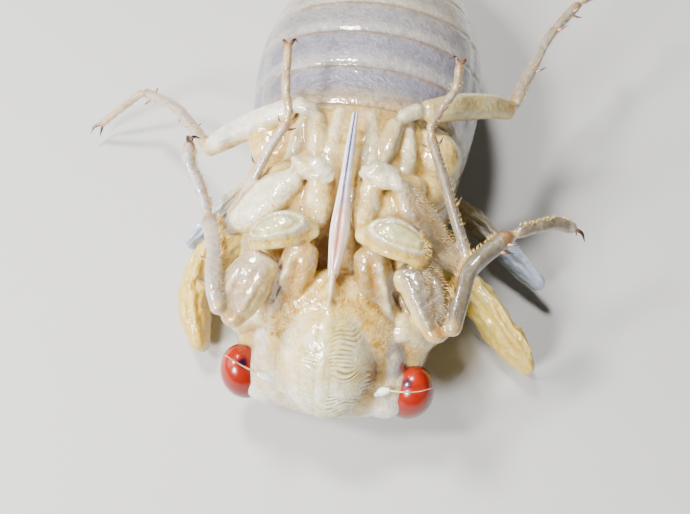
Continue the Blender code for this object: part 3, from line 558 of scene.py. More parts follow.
def roughened(form, height, scale):
    """The same form with its points moved in or out of its middle by noise."""
    middle = form.points.mean(0)
    for i, point in enumerate(form.points):
        form.points[i] += (point - middle) * height * noise.noise(Vector(point) * scale)
    return form


def cap_tone(unit):
    """Frosted white with spots of honey."""
    spot = clamp(3.5 * noise.noise(Vector(unit) * 2.6) - 0.5)
    return (*mix(FROST, HONEY, 0.95 * spot), 1.0)


def lobe_forms():
    """Puffy folds of the prothorax beside the head, and the folds and plates of the breast."""
    forms = []
    fold_tone = (*mix(CREAM, PEARL, 0.4), 1.0)
    for side in (-1, 1):
        for rows in BREAST_FOLDS:
            fold = [(side * x, y, belly_at(x, y) - 0.1, width, FOLD_DEPTH) for x, y, width in rows]
            forms.append(tube(fold, (1, 0, 0), lambda along, angle: (*mix(CREAM, FROST, 0.6), 1.0)))
    for middle in CAPS:
        cap = ball(middle, CAP_RADII, cap_tone, Matrix.Rotation(CAP_TURN, 3, "Z"))
        forms.append(roughened(roughened(cap, 0.25, 2.4), 0.16, 5.0))
    for side in (-1, 1):
        rows = [(3.0, 4.6, 6.2, 0.8, 0.8), (3.3, 4.0, 5.5, 0.85, 0.8), (3.85, 3.7, 4.6, 0.7, 0.75),
                (4.2, 4.3, 4.0, 0.6, 0.7)]
        forms.append(tube(mirrored(rows, side), (0, 1, 0), lambda along, angle: fold_tone,
                          lambda along, angle: 0.09 * math.sin(9 * along + 1.5 * math.sin(2 * angle))))
        forms.append(ball((side * 3.05, 3.45, 5.75), (0.5, 0.42, 0.5), (*mix(CREAM, FROST, 0.6), 0.9)))
        for place, radii in BREAST_PLATES:
            forms.append(ball((side * place[0], *place[1:]), radii, (*mix(TAN, CREAM, 0.45), 1.0)))
    return forms


def turn_of(leg, part, angle):
    """Angle away from the face of a leg piece that the viewer sees: outwards, or towards the head."""
    side = side_of(leg)
    if part == "coxa":
        return wrapped(side * (angle + math.pi / 2))
    if part == "femur" and leg.startswith("fore"):
        return wrapped(side * (math.pi / 2 - angle))
    return wrapped(side * angle - math.pi / 2)


def pad_ring(along, turn):
    """How far out from the middle of the oval field on a fore trochanter, 1 at its rim."""
    return math.hypot((along - 0.5) / 0.37, (turn - 0.05) / 0.75)


def leg_tone(part, leg):
    """Tone along one piece of a leg."""
    fore = leg.startswith("fore")
    base, warm = {
        "coxa": (COXA_TAN if fore else mix(CREAM, FROST, 0.35), 1.0),
        "trochanter": (PEARL if fore else mix(PALE, WHITE, 0.5), 1.0),
        "femur": (mix(MILKY, WET_TAN, 0.5) if fore else mix(CREAM, PEARL, 0.55), 1.0),
        "tibia": (MILKY, 0.25),
        "tarsus": (mix(MILKY, WET_TAN, 0.2 if fore else 0.5), 0.3),
    }[part]
    if leg == "middle_right" and part == "femur":
        base = mix(WET_TAN, MILKY, 0.4)
    # Painted light: the left middle femur is near white, as if in full light
    if leg == "middle_left" and part == "femur":
        base = mix(DOME, CREAM, 0.08)
    if leg == "hind_left" and part == "femur":
        base = mix(DOME, LAVENDER, 0.5)
    if leg == "fore_left" and part == "tarsus":
        base = mix(SMOKE, LAVENDER, 0.5)
    # Painted shade on the legs of the right side
    if leg.endswith("right"):
        base = tuple(RIGHT_SHADE * value for value in base)
    # Dark glassy grey on the right fore femur, tibia and tarsus and the right middle tibia: partly their
    # see-through look, partly painted shade
    if leg == "fore_right" and part in ("femur", "tibia", "tarsus"):
        base = SHADED_GLASS
    if leg == "middle_right" and part == "tibia":
        base = mix(SHADED_GLASS, MILKY, 0.35)

    def tone(along, angle):
        colour = base
        turn = turn_of(leg, part, angle)
        if part == "coxa":
            # Painted highlight: frosty white along the raised ridge on the side the viewer sees
            colour = mix(colour, FROST, 0.6 * bell(turn - 0.5, 0.25))
            colour = mix(colour, AMBER, 0.4 * bell(turn - 0.02, 0.12))
            colour = mix(colour, AMBER, 0.55 * clamp((abs(turn) - 0.8) / 0.6))
        if part == "trochanter" and fore:
            ring = pad_ring(along, turn)
            colour = mix(colour, LIME, 0.75 * clamp((1 - ring) / 0.3))
            colour = mix(colour, FROST, 0.85 * bell(ring - 1, 0.16))
            colour = mix(colour, HONEY, 0.8 * clamp((turn - 0.95) / 0.4))
            colour = mix(colour, HONEY, 0.55 * clamp((0.14 - along) / 0.14))
        if part == "femur":
            colour = mix(colour, CREAM, 0.75 * clamp((-0.45 - turn) / 0.4))
            colour = mix(colour, HONEY, 0.6 * clamp((abs(turn) - 1.05) / 0.5))
            colour = mix(colour, AMBER, 0.6 * clamp((along - 0.84) / 0.16))
        if part == "tibia":
            colour = mix(colour, WET_TAN, 0.7 * clamp((0.1 - along) / 0.1))
            colour = mix(colour, KNEE, 0.5 * clamp((along - 0.93) / 0.07))
        if part == "tarsus":
            colour = mix(colour, KNEE, 0.6 * clamp((along - 0.9) / 0.1))
        return (*colour, warm * (0.5 if leg.startswith("hind") else 1.0))

    return tone


def leg_relief(part, leg):
    """Oval field on the pads, keels on the femora, lumps on the coxae, waists between foot joints."""
    fore = leg.startswith("fore")

    def relief(along, angle):
        turn = turn_of(leg, part, angle)
        arch = math.sin(math.pi * clamp(along))
        if part == "trochanter" and fore:
            ring = pad_ring(along, turn)
            inner = 0.06 * bell(ring - 0.5, 0.13) - 0.05 * bell(ring - 0.78, 0.12)
            return 0.12 * bell(ring - 1, 0.11) + inner + 0.03 * bell(turn - 0.15, 0.12) * clamp(1 - ring)
        if part == "coxa" and not fore:
            return 0.05 * arch * bell(turn - 0.3, 0.3)
        if part == "coxa":
            lumps = 1 + 0.4 * math.sin(24 * along + 2 * turn)
            return arch * (0.19 * bell(turn - 0.5, 0.2) * lumps - 0.12 * bell(turn - 0.02, 0.12)
                           + 0.1 * bell(turn + 0.5, 0.25) + 0.018 * math.sin(11 * turn + 4 * along))
        if part == "femur" and fore:
            return arch * (0.13 * bell(turn + 0.5, 0.13) + 0.1 * bell(turn - 0.55, 0.15)
                           + 0.018 * math.sin(9 * turn + 7 * along))
        if part == "femur":
            return arch * (0.09 * bell(turn + 0.3, 0.16) + 0.06 * bell(turn - 0.8, 0.16))
        if part == "tibia":
            return 0.03 * math.cos(4 * angle) * arch
        if part == "tarsus":
            return -0.045 * (bell(along - 0.28, 0.03) + bell(along - 0.6, 0.03))
        return 0.0

    return relief


def across_of(leg, part):
    if part == "femur" and leg.startswith("fore"):
        return (1, 0.2, 0)
    return {"coxa": (1, 0, 0), "trochanter": (0, 1, 0), "femur": (0, 1, 0),
            "tibia": (0.6, 0.6, 0.4), "tarsus": (0.6, 0.6, 0.4)}[part]


def leg_stations(leg, part):
    share = SLIM.get((leg.split("_")[0], part), 1.0)
    rows = [(x, y, z, width * share, depth * share) for x, y, z, width, depth in LEGS[leg][part]]
    return mirrored(rows, side_of(leg))


def leg_forms(leg):
    """The pieces of a leg, root first, with a small knuckle between each two."""
    forms = []
    for part in LEG_PARTS:
        forms.append(tube(leg_stations(leg, part), across_of(leg, part), leg_tone(part, leg),
                          leg_relief(part, leg), 56, 14, 8))
    for near, far in zip(LEG_PARTS, LEG_PARTS[1:]):
        end, start = leg_stations(leg, near)[-1], leg_stations(leg, far)[0]
        radius = 0.8 * min(end[4], start[4])
        middle = (Vector(end[:3]) + Vector(start[:3])) / 2
        forms.append(ball(middle, (radius,) * 3, (*mix(WET_TAN, CREAM, 0.5), 1.0), None, 20, 12))
    if leg.startswith("fore"):
        rim = [(x, y - 0.16, z - 0.2, width + 0.05, depth * 0.8)
               for x, y, z, width, depth in leg_stations(leg, "trochanter")]
        forms.append(tube(rim, (0, 1, 0), lambda along, angle: (*mix(HONEY, CREAM, 0.35), 1.0)))
        stalk = Vector(leg_stations(leg, "trochanter")[0][:3]) + Vector((0.05 * side_of(leg), 0.0, -0.25))
        forms.append(roughened(ball(stalk, (0.5, 0.5, 0.3), (*mix(HONEY, LIME, 0.5), 1.0)), 0.12, 2.0))
    return forms


def mesh_from(name, points, faces):
    mesh = bpy.data.meshes.new(name)
    mesh.from_pydata([tuple(point) for point in points], [], faces)
    mesh.update()
    return mesh


def new_piece(name, mesh, material):
    piece = bpy.data.objects.new(name, mesh)
    bpy.context.scene.collection.objects.link(piece)
    mesh.materials.append(material)
    mesh.shade_smooth()
    return piece


def join_forms(forms):
    points = np.concatenate([form.points for form in forms])
    tones = np.concatenate([form.tones for form in forms])
    faces, start = [], 0
    for form in forms:
        faces += [tuple(corner + start for corner in face) for face in form.faces]
        start += len(form.points)
    return points, faces, tones


def voxel_skin(points, faces):
    """One closed surface over all the forms."""
    raw = bpy.data.objects.new("skin_forms", mesh_from("skin_forms", points, faces))
    bpy.context.scene.collection.objects.link(raw)
    remesh = raw.modifiers.new("one_skin", "REMESH")
    remesh.mode = "VOXEL"
    remesh.voxel_size = VOXEL
    graph = bpy.context.evaluated_depsgraph_get()
    mesh = bpy.data.meshes.new_from_object(raw.evaluated_get(graph))
    bpy.data.objects.remove(raw)
    return mesh


class Surface:
    """Points, edges and normals of a mesh as arrays, for smoothing and moving its points."""

    def __init__(self, mesh):
        self.mesh = mesh
        count = len(mesh.vertices)
        self.points = np.empty(count * 3)
        mesh.vertices.foreach_get("co", self.points)
        self.points = self.points.reshape(-1, 3)
        edges = np.empty(len(mesh.edges) * 2, np.int64)
        mesh.edges.foreach_get("vertices", edges)
        self.near, self.far = edges.reshape(-1, 2).T
        degree = np.bincount(self.near, minlength=count) + np.bincount(self.far, minlength=count)
        self.degree = np.maximum(degree, 1)[:, None]

    def smooth(self, values, rounds, share=0.5):
        """Each value moves towards the mean of its neighbours."""
        count = len(self.points)
        for _ in range(rounds):
            total = np.empty_like(values)
            for k in range(values.shape[1]):
                total[:, k] = (np.bincount(self.near, values[self.far, k], count)
                               + np.bincount(self.far, values[self.near, k], count))
            values = values + share * (total / self.degree - values)
        return values

    def normals(self):
        self.write()
        normals = np.empty(len(self.points) * 3)
        self.mesh.vertices.foreach_get("normal", normals)
        return normals.reshape(-1, 3)

    def write(self):
        self.mesh.vertices.foreach_set("co", self.points.reshape(-1))
        self.mesh.update()


def tones_at(points, source_points, source_tones):
    """Tone of the nearest point of the forms."""
    tree = kdtree.KDTree(len(source_points))
    for i, point in enumerate(source_points):
        tree.insert(point, i)
    tree.balance()
    nearest = [tree.find(point)[1] for point in points]
    return source_tones[nearest]


def set_colour(mesh, name, values):
    layer = mesh.color_attributes.new(name, "FLOAT_COLOR", "POINT")
    padded = np.ones((len(values), 4))
    padded[:, :values.shape[1]] = values
    layer.data.foreach_set("color", padded.reshape(-1))


def refine_clypeus(mesh):
    """Splits the skin's faces over the clypeus, where the ridges need them finer."""
    turn = face_frame().transposed()
    middle = clypeus_middle()
    bm = bmesh.new()
    bm.from_mesh(mesh)
    edges = []
    for edge in bm.edges:
        local = turn @ ((edge.verts[0].co + edge.verts[1].co) / 2 - middle)
        across, out, down = (value / radius for value, radius in zip(local, CLYPEUS_RADII))
        if out > 0 and 0.8 < across ** 2 + out ** 2 + down ** 2 < 1.3:
            edges.append(edge)
    bmesh.ops.subdivide_edges(bm, edges=edges, cuts=1, use_grid_fill=True)
    bm.to_mesh(mesh)
    bm.free()


def face_place(points, narrow):
    """Each point across, out of and down the dome of the face, and its distance from the middle.

    All are in radii of the dome, made narrower by a share."""
    local = (points - np.array(clypeus_middle())) @ np.array(face_frame())
    across, out, down = (local / np.array(CLYPEUS_RADII)).T
    return across, out, down, np.sqrt((across / narrow) ** 2 + out ** 2 + down ** 2)


def noise_at(points, scale, shift=(0, 0, 0)):
    return np.array([noise.noise(Vector(point) * scale + Vector(shift)) for point in points])


def clypeus_ridges(points):
    """Height of the fine cross ridges, arched to both sides of a low keel, clearest on the right."""
    across, out, down, size = face_place(points, 0.9)
    x, z = across * CLYPEUS_RADII[0], down * CLYPEUS_RADII[2]
    inside = np.clip((1.16 - size) / 0.1, 0, 1) * np.clip((out - 0.12) / 0.3, 0, 1)
    places = points[inside > 0]
    phase = z - 0.2 * np.abs(x)
    phase[inside > 0] += RIDGE_WOBBLE * noise_at(places, 1.1)
    strength = np.ones(len(points))
    strength[inside > 0] = (np.clip(0.5 + 2.2 * noise_at(places, 0.9, (7, 3, 1)), 0.0, 1.4)
                            * np.clip(0.85 + 2.0 * noise_at(places, 2.7), 0, 1.2))
    strength *= 0.4 + 0.45 * np.clip(0.3 - x / 0.8, 0, 1)
    wave = np.cos(2 * math.pi * phase / RIDGE_SPACING) * strength
    sides = np.clip((np.abs(x) - KEEL_WIDTH) / 0.3, 0, 1) * np.clip((0.95 - down) / 0.5, 0, 1)
    keel = 1.1 * np.exp(-(x / KEEL_WIDTH) ** 2) - 0.35 * np.exp(-((np.abs(x) - 0.3) / 0.12) ** 2)
    return inside * (wave * sides + keel), inside


def face_halo(points):
    """Share of honey colour on the band round the upper half of the dome of the face."""
    _, out, down, size = face_place(points, 0.92)
    return np.exp(-((size - 1.12) / 0.13) ** 2) * np.clip((down + 0.25) / 0.4, 0, 1) * (out > -0.6)


def face_roots(points, normals):
    """Places of the short hair round the upper edge of the dome of the face, with their outward ways."""
    _, out, down, size = face_place(points, 0.92)
    ring = (size > 1.02) & (size < 1.4) & (down > 0.3) & (out > -0.1) & (normals[:, 2] > 0)
    places = np.flatnonzero(ring & (np.abs(points[:, 0]) > 0.3))
    chance = np.random.default_rng(FACE_HAIR_SEED)
    chosen = chance.choice(places, min(FACE_HAIRS, len(places)), replace=False)
    return [(Vector(points[i]), Vector(normals[i])) for i in chosen]


def crown_rim_shade(points):
    """Share of painted shade, in dark olive, round the lower edge of the dome, by the crown, deeper on the
    right.
    """
    across, out, down, size = face_place(points, 0.97)
    side = 0.35 + 0.65 * np.clip((0.2 - across) / 0.6, 0, 1)
    rim = np.clip((0.95 - out) / 0.5, 0, 1) * np.clip((1.3 - size) / 0.15, 0, 1)
    return rim * np.clip((0.35 - down) / 0.4, 0, 1) * side


# Dark slits between the legs, painted shade in the gaps between the pieces, and a spot on the shield: both
# ends, half width and depth of colour.
# Each runs down along one way, as far as a floor.
SLITS = (
    ((-2.40, 3.50, 7.4), (-2.18, 4.12, 7.4), 0.1, 0.95), ((2.60, 4.50, 7.4), (3.03, 3.72, 7.4), 0.11, 0.95),
    ((0.17, 3.89, 7.4), (0.28, 3.72, 7.4), 0.09, 0.35),
)
SLIT_WAY = (-0.068, 0.449, -0.891)
SLIT_FLOOR = 5.8


def slit_marks(points):
    """How deep each point lies in one of the slits."""
    way = np.array(SLIT_WAY)
    marks = np.zeros(len(points))
    for start, end, width, strength in SLITS:
        line = np.array(end) - np.array(start)
        line -= way * (line @ way)
        away = points - np.array(start)
        away -= np.outer(away @ way, way)
        share = np.clip(away @ line / (line @ line), 0, 1)
        distance = np.linalg.norm(away - np.outer(share, line), axis=1)
        marks = np.maximum(marks, strength * np.exp(-(distance / width) ** 2))
    return marks * (points[:, 2] > SLIT_FLOOR)


def wrinkles(points):
    """Soft irregular folds, sharp in the hollows and rounded on top.

    Blender seeds noise_vector from the clock, so the seed is set for the same folds each run."""
    noise.seed_set(WRINKLE_SEED)
    heights = []
    for point in points:
        place = Vector(point)
        bent = place + 0.35 * noise.noise_vector(place * 0.9)
        folds = abs(noise.noise(bent * 1.7)) + 0.5 * abs(noise.noise(bent * 4.1))
        heights.append(folds + 0.2 * abs(noise.noise(bent * 8.5)) - 0.38)
    return np.array(heights)


def fill_gaps(surface):
    """Smooths the raw skin and fills the narrow gaps between its forms."""
    surface.points = surface.smooth(surface.points, SKIN_SMOOTHING)
    normals = surface.normals()
    wide = surface.smooth(surface.points, CAVITY_REACH // 2) - surface.points
    depth = np.clip((wide * normals).sum(1), 0, None)[:, None]
    surface.points += GAP_FILL * surface.smooth(depth, SKIN_SMOOTHING) * normals
    surface.points = surface.smooth(surface.points, SKIN_SMOOTHING)
    surface.write()


def carve_skin(surface, warm):
    """Raises ridges and wrinkles, sinks the slits and returns how much each point has of each form."""
    sunk = surface.smooth(surface.points, CREASE_REACH) - surface.points
    wide = surface.smooth(surface.points + sunk, CAVITY_REACH) - surface.points
    normals = surface.normals()
    depth = (sunk * normals).sum(1) / CREASE_DEPTH
    cavity = np.clip((wide * normals).sum(1) / CAVITY_DEPTH, 0, 1)
    ridges, inside = clypeus_ridges(surface.points)
    halo = face_halo(surface.points)
    left = np.clip(0.4 - surface.points[:, 0] / 0.8, 0, 1)
    soft = (1 - inside) * (1 - cavity) * warm * (1 + 0.2 * halo) + 0.9 * inside * left
    creased = wrinkles(surface.points) * soft
    surface.points += normals * (RIDGE_HEIGHT * ridges + WRINKLE_HEIGHT * creased)[:, None]
    slits = slit_marks(surface.points)
    surface.points -= SLIT_DEPTH * slits[:, None] * normals
    surface.points[:, 2] = np.maximum(surface.points[:, 2], 0.0)
    surface.write()
    return SimpleNamespace(hollow=np.clip(depth, 0, 1), raised=np.clip(-depth, 0, 1), cavity=cavity,
                           inside=inside, ridges=ridges, halo=halo, creased=creased, slits=slits)


def skin_colours(points, tones, marks):
    """The tones of the forms, tinted on folds, on the ridges and round the face, with painted shade in
    creases, hollows and slits and round the lower rim of the dome.
    """
    colours, warm = tones[:, :3].copy(), tones[:, 3]

    def tint(colour, amount):
        colours[:] += (np.array(colour) - colours) * np.clip(amount, 0, 1)[:, None]

    tint(HONEY, 0.85 * marks.halo * np.clip(0.4 + np.abs(points[:, 0]), 0, 1))
    tint(AMBER, (0.12 + 0.4 * marks.halo) * np.clip(-4 * marks.creased, 0, 1))
    tint(FROST, (0.15 + 0.25 * marks.halo) * np.clip(4 * marks.creased, 0, 1))
    # Painted shade round the lower rim of the dome
    tint(mix(UMBER, OLIVE, 0.5), 0.85 * crown_rim_shade(points))
    tint(FROST, 0.4 * marks.raised * warm)
    # Painted shade: amber in the creases
    tint(AMBER, 0.95 * marks.hollow * warm * (1 - 0.6 * marks.inside))
    tint(OLIVE, 1.3 * marks.inside * np.clip(-marks.ridges, 0, 1))
    # Painted shade: umber in the broad hollows between the forms
    tint(UMBER, 0.75 * marks.cavity * warm)
    # Painted shade in the slits between the legs
    tint(SLIT_SHADE, marks.slits)
    # Painted shade: creases that turn less amber are darkened instead
    shade = 1 - 0.35 * marks.hollow * (1 - warm)
    return colours ** TONE_DEPTH * shade[:, None]


def make_skin(material):
    """The whole body and legs as one surface. Returns the roots of the hair on its face."""
    forms = [trunk_form(), *head_forms(), *lobe_forms()]
    for leg in LEGS:
        forms += leg_forms(leg)
    source_points, faces, source_tones = join_forms(forms)
    mesh = voxel_skin(source_points, faces)
    fill_gaps(Surface(mesh))
    refine_clypeus(mesh)
    surface = Surface(mesh)
    tones = surface.smooth(tones_at(surface.points, source_points, source_tones), TONE_SMOOTHING)
    marks = carve_skin(surface, tones[:, 3])
    roots = face_roots(surface.points, surface.normals())
    set_colour(mesh, "tone", skin_colours(surface.points, tones, marks))
    piece = new_piece("skin", place(mesh), material)
    flesh = ["head", "postclypeus", "pronotum", "mesothorax", "metathorax", "abdomen"]
    flesh += [f"{leg}_{part}" for leg in LEGS for part in LEG_PARTS]
    adopt(piece, flesh)
    return roots


def place(mesh):
    """Moves a mesh from the animal's frame to the CAD frame."""
    mesh.transform(TO_WORLD)
    return mesh


def adopt(piece, nodes):
    """The piece rides with the body and stands for these nodes."""
    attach(piece, "root")
    if nodes:
        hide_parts(*nodes)


def form_piece(name, forms, material, nodes):
    points, faces, tones = join_forms(forms)
    mesh = mesh_from(name, points, faces)
    bm = bmesh.new()
    bm.from_mesh(mesh)
    bmesh.ops.recalc_face_normals(bm, faces=bm.faces)
    bm.to_mesh(mesh)
    bm.free()
    set_colour(mesh, "tone", tones[:, :3])
    piece = new_piece(name, place(mesh), material)
    adopt(piece, nodes)
    return piece


# Degrees that each eye leans outwards and back, and the way to its dark spot
EYE_LEAN = (14, -20)
EYE_SPOTS = {"eye_left": (0.15, -0.1, 0.95), "eye_right": (-0.25, -0.1, 0.95)}


def make_eyes(material):
    """Glossy eyes, bright red above and dark red below, each with one dark spot of painted shade for the
    pseudopupil, fixed on the eye.
    """
    for name, way_to_spot in EYE_SPOTS.items():
        side = side_of(name)
        tilt = (Matrix.Rotation(math.radians(side * EYE_LEAN[0]), 3, "Y")
                @ Matrix.Rotation(math.radians(EYE_LEAN[1]), 3, "X"))
        spot = Vector(way_to_spot).normalized()

        def tone(unit, tilt=tilt, spot=spot):
            way = tilt @ unit
            colour = mix(EYE_DARK, EYE_BRIGHT, clamp(0.5 + 0.55 * way.z + 0.3 * way.y))
            # Painted shade: a fixed dark spot where a real eye shows a pseudopupil that moves with the
            # viewer
            return (*mix(colour, EYE_SPOT, clamp(1.6 * bell((way - spot).length, 0.17))), 0)

        centre = (side * EYE_PLACE[0], *EYE_PLACE[1:])
        form_piece(name + "_lens", [ball(centre, EYE_RADII, tone, tilt, 96, 64)], material, [name])


# Each antenna from its socket out: the first three points carry its two thick joints
ANTENNAE = {
    "antenna_left": ((-2.0, 1.75, 3.7), (-2.15, 1.25, 4.2), (-2.8, 1.25, 4.55),
                     (-3.6, 1.45, 4.85), (-4.35, 1.75, 5.0), (-5.1, 2.05, 5.0)),
    "antenna_right": ((2.0, 1.75, 3.7), (2.15, 1.2, 4.2), (2.75, 1.25, 4.55),
                      (3.4, 1.2, 4.75), (4.0, 1.25, 4.9), (4.6, 1.45, 5.0)),
}
BRISTLE_RADII = (0.04, 0.034, 0.028, 0.016)


def round_route(*stations):
    """Stations of a round tube from pairs of a point and its radius."""
    return [(*point, radius, radius) for point, radius in stations]


def bristle_tone(along, angle):
    return (*mix(TAN, BRISTLE_TIP, clamp(2 * along)), 0)


def make_antennae(material):
    """Two thick joints at the root, then a fine bristle."""
    across = (0.3, 0.4, 0.9)
    for name, route in ANTENNAE.items():
        socket, elbow, end = route[:3]
        scape = round_route((socket, 0.26), (elbow, 0.24), (mix(elbow, end, 0.45), 0.19))
        pedicel = round_route((mix(elbow, end, 0.2), 0.22), (mix(elbow, end, 0.7), 0.2), (end, 0.13))
        bristle = round_route(*zip(route[2:], BRISTLE_RADII))
        forms = [tube(scape, across, lambda along, angle: (*LAVENDER, 0)),
                 tube(pedicel, across, lambda along, angle: (*FROST, 0)),
                 tube(bristle, across, bristle_tone)]
        form_piece(name + "_bristle", forms, material, [name])


# The beak from the face out, and the angle round it that faces away from the belly
BEAK = (
    (0.0, 4.7, 8.2, 0.22, 0.26), (0.06, 5.5, 8.75, 0.35, 0.32), (0.08, 6.3, 9.15, 0.4, 0.32),
    (0.07, 7.1, 9.45, 0.33, 0.3), (0.05, 8.2, 9.65, 0.24, 0.25), (0.04, 9.8, 9.75, 0.21, 0.22),
    (0.03, 11.5, 9.8, 0.14, 0.15),
)
BEAK_TOP = -math.pi / 2
BEAK_RED = (0.50, 0.20, 0.15)
BEAK_BLUE = (0.05, 0.05, 0.14)
BEAK_WALLS = ((0.62, 0.45, 0.36), (0.66, 0.64, 0.74))
BEAK_EDGE = (0.9, 0.86, 0.9)


def make_beak(material):
    """Sheath with a groove down its middle, red near the head and dark blue further out."""

    def top(angle, width):
        return bell(abs(wrapped(angle - BEAK_TOP)), width)

    def relief(along, angle):
        return -0.1 * top(angle, 0.2) * clamp(along / 0.2)

    def tone(along, angle):
        inner = mix(BEAK_RED, BEAK_BLUE, clamp((along - 0.42) / 0.2))
        walls = mix(*BEAK_WALLS, clamp((along - 0.4) / 0.3))
        walls = mix(walls, BEAK_EDGE, clamp((abs(math.cos(angle)) - 0.6) / 0.3))
        return (*mix(walls, inner, top(angle, 0.24) * clamp(along / 0.15)), 0)

    form_piece("beak_sheath", [tube(BEAK, (1, 0, 0), tone, relief, 64, 14)], material,
               ["rostrum"])


def make_pads(material):
    """Folded wings: lengthwise veins, pleats between them and soft cross folds."""
    for name, stations in PADS.items():
        side = side_of(name)
        fore = name.startswith("fore")

        def relief(along, angle, side=side):
            fade = math.sin(math.pi * min(1.0, 0.1 + 0.85 * along))
            veins = 0.045 * math.cos(10 * angle + 2 * along)
            place = Vector((9 * along, 2.2 * math.cos(angle), 2.2 * math.sin(angle) + side))
            folds = 0.2 * noise.noise(place) + 0.09 * noise.noise(place * 2.6)
            return fade * (veins + folds) - 0.1

        def tone(along, angle, fore=fore):
            vein = 0.5 + 0.5 * math.cos(10 * angle + 2 * along)
            root, tip = (WING_CREAM, GOLD) if fore else (WING_CREAM, WING_BLUE)
            return (*mix(mix(root, tip, clamp(1.4 * along)), FROST, 0.12 * vein), 0)

        form = tube(mirrored(stations, side), (0, 0, 1), tone, relief, 96, 16, 8)
        form.points[:, 2] = np.maximum(form.points[:, 2], 0.0)
        form_piece(name + "_pad", [form], material, [name])


def foot_end(leg):
    rows = leg_stations(leg, "tarsus")
    end, before = Vector(rows[-1][:3]), Vector(rows[-2][:3])
    return end, (end - before).normalized()


def claw_tone(along, angle):
    return (*mix(CLAW_ROOT, CLAW_TIP, clamp(2.5 * along)), 0)


def make_claws(material):
    """Two dark claws on each foot, that part and curl over."""
    forms = []
    for leg in LEGS:
        end, ahead = foot_end(leg)
        curl = Vector(CLAW_CURL[leg]).normalized()
        apart = ahead.cross(curl).normalized()
        for side in (-1, 1):
            bend = end + ahead * CLAW_LENGTH * 0.65 + apart * side * 0.24 + curl * 0.05
            tip = end + ahead * CLAW_LENGTH * 0.85 + apart * side * 0.32 + curl * 0.42
            route = round_route((end, 0.1), (bend, 0.075), (tip, 0.012))
            forms.append(tube(route, apart, claw_tone, None, 12, 8, 3))
    form_piece("claws", forms, material, [])


def tube_place(stations, across, along, turn):
    """Point on a tube's surface, the way out of it and the way along it."""
    rows = spline(stations, 10)
    i = min(int(along * (len(rows) - 1)), len(rows) - 2)
    centre = Vector(rows[i][:3])
    tangent = (Vector(rows[i + 1][:3]) - centre).normalized()
    side = Vector(across)
    side = (side - tangent * side.dot(tangent)).normalized()
    front = tangent.cross(side)
    out = side * math.cos(turn) * rows[i][3] + front * math.sin(turn) * rows[i][4]
    return centre + out, out.normalized(), tangent


def turn_to(leg, part, way):
    """Angle round the middle of a leg piece at which it faces this way."""
    stations, across = leg_stations(leg, part), across_of(leg, part)
    along = [tube_place(stations, across, 0.5, turn)[1].dot(Vector(way).normalized())
             for turn in (2 * math.pi * k / 72 for k in range(72))]
    return 2 * math.pi * along.index(max(along)) / 72


def spine_tone(along, angle):
    return (*mix(SPINE_ROOT, SPINE_TIP, clamp(2.5 * along - 0.6)), 0)


def make_spines(material):
    """Dark pointed spines on the tibiae."""
    forms = []
    for leg, rows in TIBIA_SPINES.items():
        stations, across = leg_stations(leg, "tibia"), across_of(leg, "tibia")
        for along, turn, length in rows:
            turn = turn_to(leg, "tibia", turn) if isinstance(turn, tuple) else math.radians(turn)
            root, out, tangent = tube_place(stations, across, along, turn)
            tip = root + (out + tangent) * length * 0.7
            route = round_route((root - out * 0.1, 0.08), (mix(root, tip, 0.4), 0.05), (tip, 0.01))
            forms.append(tube(route, (0.2, 0.3, 1), spine_tone, None, 10, 6, 2))
    form_piece("spines", forms, material, [])


# Hair in fringes: leg, piece of it, count, span along it, the way it faces, its spread and length
FRINGES = (
    ("fore_right", "tibia", 200, (0.3, 0.99), (-0.8, 0.8, 0.5), 22, 0.32),
    ("fore_left", "tibia", 260, (0.55, 0.99), (1.0, 0.0, 0.5), 24, 0.36),
    ("fore_left", "tibia", 60, (0.1, 0.6), (1.0, 0.0, 0.5), 30, 0.16),
    ("fore_right", "trochanter", 240, (0.6, 1.0), (0.5, -0.1, 1.0), 80, 0.22),
    ("fore_left", "trochanter", 120, (0.6, 1.0), (-0.5, -0.1, 1.0), 70, 0.15),
    ("fore_right", "femur", 300, (0.05, 0.98), (0.9, 0.2, 0.6), 50, 0.22),
    ("fore_left", "femur", 140, (0.3, 0.98), (-0.9, 0.2, 0.3), 35, 0.15),
    ("middle_right", "femur", 240, (0.0, 0.9), (0.6, 0.8, 0.4), 50, 0.2),
    ("middle_left", "femur", 160, (0.1, 0.95), (0.2, -0.8, 0.3), 45, 0.15),
    *((leg + side, "tibia", count, (0.02, 0.98), None, 180, length)
      for leg, count, length in (("middle", 140, 0.15), ("hind", 200, 0.18))
      for side in ("_right", "_left")),
    ("fore_right", "tarsus", 160, (0.0, 0.98), (-0.3, 1.0, 0.5), 60, 0.16),
    ("fore_left", "tarsus", 160, (0.0, 0.98), (1.0, 0.0, 0.5), 60, 0.16),
    *((leg, "tarsus", 80, (0.0, 0.98), None, 180, 0.12)
      for leg in ("middle_right", "middle_left", "hind_right", "hind_left")),
)
HAIR_SEED = 5
HAIR_WIDTH = 0.014
# The OFBake map of the hair: size of a bristle's patch, and columns and rows of fields, one a fringe.
# The last field is for the face.
HAIR_PATCH = 0.003
HAIR_FIELDS = (5, 4)
BRISTLE_CORNERS = ((0, 0), (1, 0), (0.5, 1), (0, 0.5), (1, 0.5), (0.5, 0.8), (0.5, 1))


